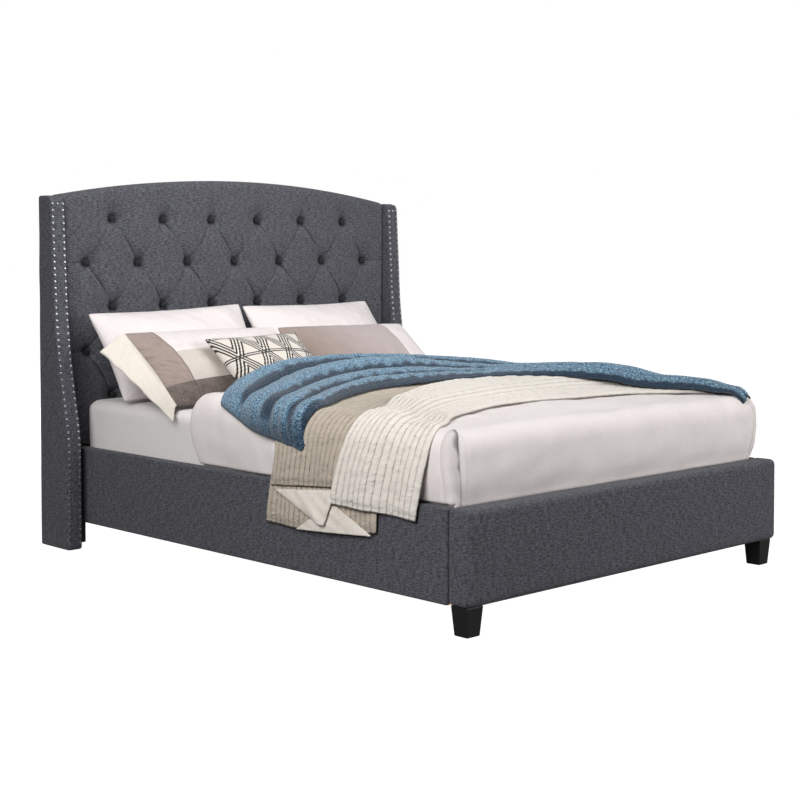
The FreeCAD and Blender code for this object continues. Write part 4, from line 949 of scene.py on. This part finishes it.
class MakeDuvet(bpy.types.Operator):
    """Make the duvet: a thick sheet folded over both sides and the foot of the mattress"""
    bl_idname = "bed.make_duvet"
    bl_label = "Duvet"

    def execute(self, context):
        """Lay a flat grid over the mattress with lie().

        The sides and foot bulge like half a sine wave. At each foot corner, the direction round the corner
        gives a pleat: a slow rise, a quick fall and a groove.
        """
        loft = sizes().duvet_loft
        rail_gap, foot_drop, head_end = 0.003, 0.012, 0.25
        reach = reach_to(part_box("rail_cover_left")[1].z + rail_gap)
        fall = reach - COVER_HALF + COVER_ROUND
        u, v = unit_grid((300, 230))
        across = reach * (2 * u - 1)
        foot_end = FLAT_FOOT - fall - foot_drop
        along = foot_end + (head_end - foot_end) * v
        overhang = np.clip(np.abs(across) - COVER_HALF + COVER_ROUND, 0, None) / fall
        below = np.clip(FLAT_FOOT - along, 0, None) / fall
        along = along + 0.03 * np.sin(overhang * HALF_TURN) * ease(along, -0.2, 0.25)
        down = np.maximum(overhang, below)
        both = np.minimum(overhang, below)
        bulge = 0.014 * np.sin(np.clip(down, 0, 1) ** 0.8 * HALF_TURN)
        bulge = bulge - 0.006 * ease(down, 0.6, 1.0) - 0.006 * ease(below, 0.75, 1.0)
        bent = np.arctan2(below, np.maximum(overhang, 1e-6)) + 0.05 * np.sin(down * 5) - 0.05
        corner = ease(both, 0.02, 0.16) * ease(down, 0.05, 0.3)
        pleat = corner * (0.020 * ease(bent, 0.25, 0.66) * ease(bent, 0.84, 0.72)
                          - 0.015 * bell(bent - 0.88, 0.08) + 0.004 * bell(bent - 1.12, 0.12))
        wave = 0.0035 * ripple(60, 0.34, across, along) + 0.002 * ripple(61, 0.13, across, along)
        wave = wave + 0.0012 * np.sin(across * 52 + 3 * np.sin(across * 5)) * ease(below, 0.2, 0.8)
        edge = along + 0.155 + 0.1 * overhang
        seam = 0.006 * ease(edge, -0.06, 0.0) * ease(edge, 0.012, 0.0) - 0.010 * bell(edge - 0.010, 0.007)
        lift = bulge + pleat + wave * 0.7 + seam * ease(overhang, 0.05, 0.3) - loft / 2
        points, quads = sheet_skin(lie(across, along, lift), 2, loft)
        # The UV map named seam holds the distance to the left foot corner's pleat crease, where the duvet
        # cover gets a line of painted shade.
        crease = np.abs(bent - 0.80 + 0.02 * np.sin(down * 26)) * np.hypot(overhang, below) * fall
        crease = np.where(across < 0, crease, 0.2) + 0.06 * ease(both, 0.10, 0.02)
        layout = np.stack([crease, down], axis=-1)
        duvet = piece("duvet_in_cotton_cover", points, quads, finish_of("duvet"), "bed_covers",
                      "duvet_cotton", ("duvet",), {"seam": both_faces(layout, layout)})
        return {"FINISHED"}


# ---- quilts and throw --------------------------------------------------------------------------------------

def hanging_wave(across, along):
    """The sway that every layer of cloth shares where it hangs at a side."""
    sway = 0.003 * ripple(71, 0.4, across, along) + 0.0015 * ripple(72, 0.16, along)
    sway = sway + 0.003 * np.sin(along * 34)
    return sway * ease(np.abs(across), COVER_HALF, COVER_HALF + 0.15)


def quilt(name, key, takes, shape, hem, end, foot_edge, head_edge, lifts, channels, pitch, seed):
    """A quilt in channels, from its left hem to its right end, between two edge curves.

    Its height is a power of a sine wave's size, one hump to a channel, with puckers between the seams and a
    flat stitched border. Its lift over the duvet goes from one of lifts at its foot edge to the other.
    """
    u, v = unit_grid(shape)
    across = hem(v) + (end - hem(v)) * u
    along = flowing(across, *foot_edge) * (1 - v) + flowing(across, *head_edge) * v
    channel = np.abs(np.sin(HALF_TURN * channels * v)) ** 0.6
    from_hem = np.minimum(across - across[:1], across[-1:] - across)
    border = ease(from_hem, 0.016, 0.024) * np.minimum(np.minimum(v, 1 - v) * 30, 1)
    pucker = ripple(seed, 0.028, across, along * 0.3) * 0.0014 * channel
    groove = 0.002 * bell(from_hem - 0.019, 0.004)
    height = lifts[0] + (lifts[1] - lifts[0]) * ease(v, 0.35, 0.62) + channel * 0.007 * border
    centre = lie(across, along, height + pucker - groove + hanging_wave(across, along), 0.027)
    points, quads = sheet_skin(centre, 2, 0.006)
    long_way = length_along(centre, 0)
    layout = np.stack([long_way, v * channels * pitch], axis=-1)
    item = piece(name, points, quads, finish_of(key), "bed_covers", key + "_quilting", takes,
                 {"weave": both_faces(layout, layout)})


def hem_between(foot_height, head_height, sag=0.0):
    """A left hem that hangs at one height at its foot edge and another at its head edge, sagging between."""
    def hem(share):
        sagged = sag * np.sin(share * HALF_TURN)
        return -reach_to(foot_height + (head_height - foot_height) * share - sagged)
    return hem


def turned_corner(name, corners, bulge):
    """A corner of quilt that is turned over and shows its lining: a patch between four points, bowed out."""
    u, v = unit_grid((40, 40))
    first, second, third, fourth = (np.array(corner) for corner in corners)
    low = first * (1 - u[..., None]) + second * u[..., None]
    high = fourth * (1 - u[..., None]) + third * u[..., None]
    centre = low * (1 - v[..., None]) + high * v[..., None]
    bow = bulge * np.sin(u * HALF_TURN) * np.sin(v * QUARTER_TURN)
    centre[..., 0] -= bow + 0.0015 * ripple(95, 0.05, centre[..., 1], centre[..., 2])
    points, quads = sheet_skin(centre, 2, 0.005)
    item = piece(name, points, quads, finish_of("lining"), "bed_covers", "beige_quilting")


class MakeQuilts(bpy.types.Operator):
    """Make the beige quilt, folded double, and the ivory quilt over it"""
    bl_idname = "bed.make_quilts"
    bl_label = "Quilts"

    def execute(self, context):
        size = sizes()
        knots = (-1.2, -1.0, -0.9, -0.78, -0.3, 0.45)
        quilt("beige_quilt_under", "beige", ("beige_quilt",), (170, 198),
              hem_between(0.272, 0.243, 0.016), 0.45,
              (knots, (-0.706, -0.722, -0.71, -0.64, -0.38, -0.10)),
              (knots, (-0.168, -0.200, -0.218, -0.19, 0.02, 0.06)),
              (0.004, 0.004), 22, size.beige_channel, 70)
        knots = (-1.1, -1.0, -0.9, -0.78, -0.3, 0.45)
        quilt("beige_quilt_upper", "beige", (), (170, 150), hem_between(0.397, 0.370), 0.45,
              (knots, (-0.560, -0.563, -0.58, -0.60, -0.37, -0.09)),
              (knots, (-0.215, -0.219, -0.232, -0.21, 0.0, 0.04)),
              (0.016, 0.016), 15, size.beige_channel, 74)
        quilt("ivory_quilt", "ivory", ("ivory_quilt",), (250, 150), hem_between(0.332, 0.345), 1.02,
              ((-1.1, -1.03, -0.90, -0.80, -0.70, -0.578, -0.31, 0.15, 0.578, 0.76, 0.86, 1.05),
               (-0.885, -0.897, -0.925, -0.935, -0.895, -0.800, -0.690, -0.672, -0.70, -0.87, -0.975, -0.99)),
              ((-1.1, -1.0, -0.87, -0.78, -0.392, 0.008, 0.392, 0.8, 1.05),
               (-0.515, -0.530, -0.565, -0.590, -0.351, -0.117, -0.014, 0.03, 0.03)),
              (0.006, 0.028), 14, size.ivory_channel, 78)
        turned_corner("beige_quilt_turned_edge", ((-0.848, -0.240, 0.362), (-0.852, -0.552, 0.392),
                                                  (-0.856, -0.500, 0.272), (-0.852, -0.462, 0.276)), 0.010)
        turned_corner("beige_quilt_turned_end", ((-0.842, -0.510, 0.340), (-0.842, -0.545, 0.338),
                                                 (-0.836, -0.706, 0.262), (-0.838, -0.335, 0.238)), 0.006)
        return {"FINISHED"}


class MakeThrow(bpy.types.Operator):
    """Make the knitted throw: a ribbon of cloth gathered in folds, which fan out over the left side"""
    bl_idname = "bed.make_throw"
    bl_label = "Throw"

    def execute(self, context):
        """Lay a grid between two curves over the covers, with its left rows carried over to a hem curve.

        Across it lie four folds: each climbs as a parabola and falls away behind. A spine curve gives how
        high they are along the throw, and small pleats and ruffles, cosine waves, fade in towards the hem.
        """
        size = sizes()
        u, v = unit_grid((260, 220))
        hem = -flowing(v, (0.0, 0.05, 0.13, 0.3, 0.5, 0.7, 0.86, 1.0),
                       (0.858, 0.872, 0.874, 0.866, 0.848, 0.826, 0.806, 0.795))
        hem_along = flowing(v, (0.0, 0.13, 0.3, 0.6, 0.8, 1.0),
                            (-0.392, -0.370, -0.310, -0.130, -0.02, 0.09))
        stops = (0.0, 0.10, 0.22, 0.36, 0.5, 0.6, 0.7, 0.8, 0.9, 1.0)
        foot_x, foot_y, head_x, head_y = (flowing(u, stops, places) for places in (
            (-0.83, -0.715, -0.47, -0.23, 0.00, 0.24, 0.48, 0.64, 0.70, 0.715),
            (-0.475, -0.372, -0.207, -0.110, -0.085, -0.075, -0.13, -0.38, -0.71, -1.02),
            (-0.795, -0.64, -0.40, -0.12, 0.18, 0.46, 0.68, 0.79, 0.83, 0.845),
            (0.090, 0.195, 0.250, 0.265, 0.250, 0.190, 0.05, -0.28, -0.66, -0.96)))
        across = foot_x * (1 - v) + head_x * v
        along = foot_y * (1 - v) + head_y * v
        near_hem = 1 - ease(u, 0.0, 0.12)
        across, along = across + (hem - across[:1]) * near_hem, along + (hem_along - along[:1]) * near_hem
        bend = (0.022 * np.sin(u * 9.0) + 0.010 * np.sin(u * 23.0 + 1.0)) * np.sin(v * HALF_TURN)
        wander = np.clip(v + bend, 0, 1)
        phase = flowing(wander, (0.0, 0.20, 0.46, 0.76, 1.0), (0.0, 1.0, 2.0, 3.0, 4.0))
        part = phase - np.floor(phase)
        climb = 1 - (1 - np.clip(part / 0.5, 0, 1)) ** 2
        ridge = climb * (1 - 0.9 * np.clip((part - 0.5) / 0.5, 0, 1) ** 1.4)
        tall = flowing(wander, (0.0, 0.1, 0.33, 0.60, 0.88, 1.0), (0.62, 0.68, 0.80, 0.95, 1.0, 0.9))
        spine = flowing(u, (0.0, 0.06, 0.2, 0.36, 0.5, 0.6, 0.7, 0.8, 0.93, 1.0),
                        (0.10, 0.35, 0.85, 0.95, 0.75, 0.50, 0.50, 0.85, 0.85, 0.45))
        level = flowing(wander, (0.0, 0.05, 0.2, 0.46, 0.76, 1.0), (0.0, 0.02, 0.12, 0.22, 0.30, 0.28))
        pleat = 0.5 + 0.5 * np.cos(TURN * (9.5 * wander + 0.6 * np.sin(u * 8)))
        small = 0.5 + 0.5 * np.cos(TURN * (17 * v + 0.8 * np.sin(v * 11)))
        ruffle = small * bell(v - 0.12, 0.16) * ease(u, 0.10, 0.0)
        height = size.knit_fold * spine * (ridge * tall + level * 0.6)
        height = height + 0.007 * pleat * ease(u, 0.34, 0.06) * ease(u, 0.0, 0.05) + 0.010 * ruffle
        base = 0.030 + 0.006 * ease(u, 0.40, 0.55) - 0.018 * ease(along, -0.40, -0.62) * ease(u, 0.6, 0.7)
        base = base - 0.006 * ease(along, -0.82, -0.93) * ease(u, 0.7, 0.8)
        centre = lie(across, along, base + height + 0.0015 * ripple(90, 0.10, across, along), 0.010)
        points, quads = sheet_skin(centre, 3, size.throw_thickness)
        long_way, wide_way = length_along(centre, 0), length_along(centre, 1)
        # The UV map named fold carries painted shade: rise is low near the foot of each fold's climb, and
        # hang grows down the side; knit_finish darkens both.
        hang = ease(COVER_TOP + 0.03 - centre[..., 2], 0.0, 0.10)
        lit = ease(climb + 0.10 * ripple(93, 0.05, across, along), 0.52, 0.92) * ease(part, 1.0, 0.86)
        rise = 1 - (1 - lit) * ease(u, 0.0, 0.05)
        layouts = {title: np.stack(pair, axis=-1)
                   for title, pair in (("weave", (long_way, wide_way)), ("fold", (rise, hang)))}
        throw = piece("knitted_throw", points, quads, finish_of("throw"), "bed_covers", "blue_knit",
                      ("knitted_throw",), {title: both_faces(pair, pair) for title, pair in layouts.items()})
        return {"FINISHED"}


# ---- pillows -----------------------------------------------------------------------------------------------

def left_sham_finish(shades):
    """The left sham's panels: cream flange, ruched taupe band, white and greige centre, taupe lower band."""
    finish = Finish("left_sham_cotton", 0.85, Sheen_Weight=0.15, Specular_IOR_Level=0.25)
    a, b = finish.place("panel")
    grid, weft, warp = weave(finish, *finish.place(), 0.0014, 0.003)
    body = finish.mix(b.step(0.215, 0.216), shades.greige, shades.pillow)
    body = finish.mix(a.step(-0.235, -0.236), body, shades.taupe)
    body = finish.mix(b.step(0.080, 0.079), body, shade(shades.taupe, 0.40))
    edge = a.step(-0.348, -0.349)
    tone = finish.mix(edge, body, shades.flange)
    ruche = finish.noise(finish.vector(a * 12.0, b * 34.0 + a * 16.0), 1.0, 2.0, 0.5, 0.6)
    inside = a.step(-0.235, -0.236) * (1.0 - edge)
    tone = finish.mix(ruche.step(0.5, 0.7) * inside * 0.45, tone, shade(shades.taupe, 0.5))
    tone = finish.mix((weft + warp).step(0.8, 1.3) * 0.25, tone, shade(shades.greige, 0.75))
    seam = a.step(-0.231, -0.235) * a.step(-0.241, -0.237)
    tone = finish.mix(seam * 0.6, tone, shade(shades.taupe, 0.4))
    normal = finish.bump(ruche * inside, 0.014, 0.8)
    return finish.finish(tone, finish.bump(grid * 0.4 + weft + warp, 0.0004, 0.5, normal))


def right_sham_finish(shades):
    """The right sham's panels: heathered taupe that fades to its seam, and a pinkish white end."""
    finish = Finish("right_sham_cotton", 0.88, Sheen_Weight=0.2, Specular_IOR_Level=0.25)
    a, b = finish.place("panel")
    grid, weft, warp = weave(finish, *finish.place(), 0.002, 0.003)
    fleck = finish.noise(finish.vector(a, b), 200.0, 3.0, 0.7)
    cloud = finish.noise(finish.vector(a, b), 22.0, 3.0)
    fade = (a + b * 0.5 + cloud * 0.14).step(-0.15, 0.30)
    heather = finish.mix(fade, shade(shades.taupe, 0.98), shade(shades.heather, 1.2))
    heather = finish.mix(fleck.step(0.42, 0.65) * 0.4, heather, shade(shades.taupe, 0.75))
    tone = finish.mix(a.step(0.196, 0.197), heather, shades.pillow)
    seam = a.step(0.192, 0.195) * a.step(0.201, 0.198)
    tone = finish.mix(seam * 0.5, tone, shade(shades.taupe, 0.8))
    return finish.finish(tone, finish.bump(grid * 0.3 + weft + warp + fleck, 0.0006, 0.5))


def striped_finish(shades):
    """Cream linen with rows of zigzags, each a band of four dark rope lines, between rows of level lines.

    A zigzag is a triangle wave across, and its lines are a cosine of the height over it.
    """
    finish = Finish("patterned_linen", 0.85, Sheen_Weight=0.15, Specular_IOR_Level=0.25)
    a, b = finish.place("panel")
    grid, weft, warp = weave(finish, *finish.place(), 0.0016, 0.003)
    pitch, tall = 0.112, 0.122
    row = ((b + 0.05) / tall).math("FLOOR")
    height = ((b + 0.05) / tall).math("FRACT")
    swing = abs((a / pitch + row * 0.5).math("FRACT") * 2.0 - 1.0)
    gap = (swing * 0.84 + 0.08 - height) * (pitch * 0.42)
    band = abs(gap)
    lines = (gap * (TURN / 0.0094) + HALF_TURN).math("COSINE")
    rope = ((a - b) * 900.0).math("SINE") * 0.3
    dark = (lines + rope).step(-0.25, 0.1) * band.step(0.0186, 0.0178)
    level = ((b + 0.05) * (TURN / 0.0100)).math("COSINE").step(-0.25, 0.1)
    dark = dark.math("MAXIMUM", abs(height - 0.5).step(0.425, 0.43) * level)
    threads = (weft + warp).step(0.75, 1.3) * 0.3
    cream = finish.mix(threads, shade(shades.flange, 1.02), shade(shades.greige, 0.8))
    tone = finish.mix(dark * 0.97, cream, (0.010, 0.012, 0.013))
    return finish.finish(tone, finish.bump(grid * 0.4 + weft + warp + dark * 1.5, 0.0006, 0.6))


class Cushion:
    """A pillow: the four corners of its seam, its thickness, its fill, which is not used, and any flange at
    its left.
    """

    def __init__(self, name, key, slot, corners, thick, fill, seed, flange=None, pinch=0.045):
        self.name, self.key, self.slot = name, key, slot
        self.corners = [np.array(corner) for corner in corners]
        self.thick, self.fill, self.seed = thick, fill, seed
        self.flange, self.pinch = flange, pinch

    def make(self):
        """Two faces on one outline between the corners.

        The outline pulls in along its sides and is cut round at its corners. Half the thickness is a product
        of two arches, fuller low down, and soft creases cross it. The flange runs out from the left edge by
        one offset at its foot and another at its top. What would sink into the mattress is squeezed flat.
        """
        low_left, low_right, top_right, top_left = self.corners
        width = (np.linalg.norm(low_right - low_left) + np.linalg.norm(top_right - top_left)) / 2
        height = (np.linalg.norm(top_left - low_left) + np.linalg.norm(top_right - low_right)) / 2
        even = np.linspace(-1, 1, 121)
        share = np.sin(even * QUARTER_TURN) * 0.55 + even * 0.45
        s_line = np.concatenate([-2 + np.linspace(0, 1, 13)[:-1], share]) if self.flange else share
        s, t = np.meshgrid(s_line, share, indexing="ij")
        in_s = np.clip(s, -1, 1)
        beyond = np.clip(-1 - s, 0, 1)
        cut = 1 - 0.018 * (in_s * t) ** 12 * (beyond == 0)
        s_pulled = in_s * (1 - self.pinch * (1 - t ** 2) * in_s ** 2) * cut
        t_pulled = t * (1 - self.pinch * 1.6 * (1 - in_s ** 2) * t ** 2) * cut
        u, v = (s_pulled[..., None] + 1) / 2, (t_pulled[..., None] + 1) / 2
        plane = (low_left * (1 - u) + low_right * u) * (1 - v) + (top_left * (1 - u) + top_right * u) * v
        facing = np.cross(top_right + low_right - top_left - low_left,
                          top_left + top_right - low_left - low_right)
        facing /= np.linalg.norm(facing)
        from_side, from_top = 1 - np.abs(in_s), 1 - np.abs(t)
        swell = ((1 - np.abs(in_s) ** 2.4) * (1 - np.abs(t) ** 2.2)) ** 0.62 * (1 - 0.12 * t)
        spoke = np.arctan2(from_side + 0.04, from_top + 0.04)
        near = bell(np.hypot(from_side * 1.6, from_top), 0.45)
        crease = 0.0016 * np.sin(spoke * 11 + self.seed * 2 + 3 * np.sign(in_s)) * near
        half_s, half_t = s * width / 2, t * height / 2
        fold = 0.0045 * ripple(self.seed, 0.24, half_s, half_t)
        fold = crease + fold + 0.0016 * ripple(self.seed + 9, 0.07, half_s, half_t)
        fold = fold * np.minimum(swell * 2.5, 1)
        wave = 0.004 * ripple(self.seed + 5, 0.16, t * height) * beyond
        inside = np.zeros(s.shape, bool)
        inside[1:-1, 1:-1] = True
        front = np.where(inside, 0.002 + self.thick * 0.56 * swell + fold, 0) + wave
        rear = np.where(inside, -0.002 - self.thick * 0.44 * swell, 0) + wave
        if self.flange:
            foot, top = (np.array(offset) for offset in self.flange)
            plane += beyond[..., None] * (foot * (1 - v) + top * v)
        place, quads = closed_skin(plane + facing * front[..., None], plane + facing * rear[..., None])
        rest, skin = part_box("mattress")[1].z + 0.002, 0.016
        squeeze = np.clip(rest + skin - place[:, 2], 0, None) * (np.abs(place[:, 0]) < 0.745)
        place[:, 2] = np.where(squeeze > 0, rest + skin * np.exp(-squeeze / skin), place[:, 2])
        panel = np.stack([in_s * width / 2 - beyond * 0.1, (t + 1) / 2 * height], axis=-1)
        panel = both_faces(panel, panel)
        item = piece(self.name, place, quads, finish_of(self.key), self.name, self.slot, (self.name,),
                     {"weave": panel, "panel": panel})


class MakePillows(bpy.types.Operator):
    """Make the two back pillows, the two shams and the small patterned pillow"""
    bl_idname = "bed.make_pillows"
    bl_label = "Pillows"

    def execute(self, context):
        cushions = (
            Cushion("back_pillow_left", "pillow", "pillow_cotton",
                    ((-0.780, 0.735, 0.575), (-0.06, 0.745, 0.575),
                     (-0.055, 0.955, 0.925), (-0.800, 0.955, 0.905)),
                    0.17, 0.7, 1),
            Cushion("back_pillow_right", "pillow", "pillow_cotton",
                    ((-0.02, 0.745, 0.575), (0.735, 0.745, 0.575),
                     (0.675, 0.965, 0.920), (-0.035, 0.965, 0.915)),
                    0.17, 0.7, 2),
            Cushion("sham_left", "sham_left", "sham_panels",
                    ((-0.760, 0.435, 0.578), (-0.075, 0.440, 0.578),
                     (-0.100, 0.672, 0.838), (-0.830, 0.672, 0.840)),
                    0.13, 0.6, 3, flange=((-0.040, -0.045, -0.050), (-0.115, -0.025, -0.062)), pinch=0.015),
            Cushion("sham_right", "sham_right", "sham_panels",
                    ((-0.055, 0.440, 0.578), (0.665, 0.440, 0.578),
                     (0.612, 0.672, 0.828), (-0.085, 0.672, 0.836)),
                    0.13, 0.6, 4, pinch=0.02),
            Cushion("accent_pillow", "accent", "patterned_cotton",
                    ((-0.515, 0.285, 0.585), (-0.085, 0.285, 0.585),
                     (-0.125, 0.505, 0.826), (-0.575, 0.505, 0.816)),
                    0.12, 0.7, 6),
        )
        for cushion in cushions:
            cushion.make()
        return {"FINISHED"}


# ---- stage -------------------------------------------------------------------------------------------------

class MakeStage(bpy.types.Operator):
    """Make the pale floor, the soft studio light and the camera"""
    bl_idname = "bed.make_stage"
    bl_label = "Studio"

    def execute(self, context):
        scene = context.scene
        floor = bpy.data.meshes.new("floor")
        reach = 40.0
        corners = [(-reach, -reach, 0), (reach, -reach, 0), (reach, reach, 0), (-reach, reach, 0)]
        floor.from_pydata(corners, [], [(0, 1, 2, 3)])
        white = Finish("studio_floor", 0.9, Emission_Strength=1.0)
        white.surface.inputs["Emission Color"].default_value = (1, 1, 1, 1)
        floor.materials.append(white.finish((0.3, 0.3, 0.3)))
        ground = bpy.data.objects.new("floor", floor)
        ground.visible_diffuse = ground.visible_glossy = False
        scene.collection.objects.link(ground)
        ground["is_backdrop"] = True

        world = bpy.data.worlds.new("studio")
        scene.world = world
        world.use_nodes = True
        tree = world.node_tree
        background = tree.nodes["Background"]
        background.inputs["Color"].default_value = (1, 1, 1, 1)

        aim, parts, sky, path, level = (tree.nodes.new("ShaderNode" + kind) for kind in (
            "TexCoord", "SeparateXYZ", "MapRange", "LightPath", "MapRange"))
        tree.links.new(aim.outputs["Generated"], parts.inputs[0])
        tree.links.new(parts.outputs[2], sky.inputs["Value"])
        for title, number in (("From Min", -0.5), ("From Max", 0.6), ("To Min", 0.09), ("To Max", 0.12)):
            sky.inputs[title].default_value = number
        tree.links.new(path.outputs["Is Camera Ray"], level.inputs["Value"])
        tree.links.new(sky.outputs[0], level.inputs["To Min"])
        tree.links.new(level.outputs[0], background.inputs["Strength"])

        for name, place, aim, power, width in (
            ("front_light", (3.2, -5.2, 2.2), (0.2, -0.4, 0.5), 205.0, 2.4),
            ("side_light", (-4.4, -2.0, 2.6), (-0.6, -0.2, 0.6), 180.0, 2.4),
            ("head_light", (-0.3, -0.3, 2.6), (0.0, 0.9, 0.9), 25.0, 1.1),
            ("back_light", (1.2, 5.6, 1.6), (0.0, 1.1, 0.7), 150.0, 2.6),
        ):
            lamp = bpy.data.lights.new(name, "AREA")
            lamp.energy, lamp.size = power, width
            item = bpy.data.objects.new(name, lamp)
            item.location = place
            item.rotation_euler = (Vector(aim) - Vector(place)).to_track_quat("-Z", "Y").to_euler()
            scene.collection.objects.link(item)

        lens = bpy.data.cameras.new("camera")
        lens.lens, lens.sensor_width = 70.46, 36.0
        lens.shift_y = -0.12
        eye = bpy.data.objects.new("camera", lens)
        eye.location = (-4.135, -4.250, 1.166)
        eye.rotation_euler = (QUARTER_TURN - 0.0369, 0.0, -0.7674)
        scene.collection.objects.link(eye)
        scene.camera = eye
        scene.view_settings.view_transform = "Standard"
        return {"FINISHED"}


# ---- the add-on --------------------------------------------------------------------------------------------

OPERATORS = (MakeStage, MakeHeadboard, MakeFrameLinen, MakeFeet, FinishHiddenParts, MakeMattress, MakeDuvet,
             MakeQuilts, MakeThrow, MakePillows)


class BedPanel(bpy.types.Panel):
    """Buttons that make the bed's pieces, with its sizes and colours"""
    bl_idname = "VIEW3D_PT_bed"
    bl_label = "Tufted wing bed"
    bl_space_type = "VIEW_3D"
    bl_region_type = "UI"
    bl_category = "Bed"

    def draw(self, context):
        for operator in OPERATORS:
            self.layout.operator(operator.bl_idname)
        for group in (context.scene.bed_sizes, context.scene.bed_colours):
            box = self.layout.box()
            for title in group.bl_rna.properties.keys():
                if title not in ("rna_type", "name"):
                    box.prop(group, title)


CLASSES = (BedSizes, BedColours, *OPERATORS, BedPanel)


def register():
    for entry in CLASSES:
        bpy.utils.register_class(entry)
    bpy.types.Scene.bed_sizes = PointerProperty(type=BedSizes)
    bpy.types.Scene.bed_colours = PointerProperty(type=BedColours)


def unregister():
    del bpy.types.Scene.bed_sizes
    del bpy.types.Scene.bed_colours
    for entry in reversed(CLASSES):
        bpy.utils.unregister_class(entry)


def main():
    register()
    for operator in OPERATORS:
        group, name = operator.bl_idname.split(".")
        getattr(getattr(bpy.ops, group), name)()
    corners = [[list(corner) for corner in box] for box in (cad_box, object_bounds())]


if __name__ == "__main__":
    main()
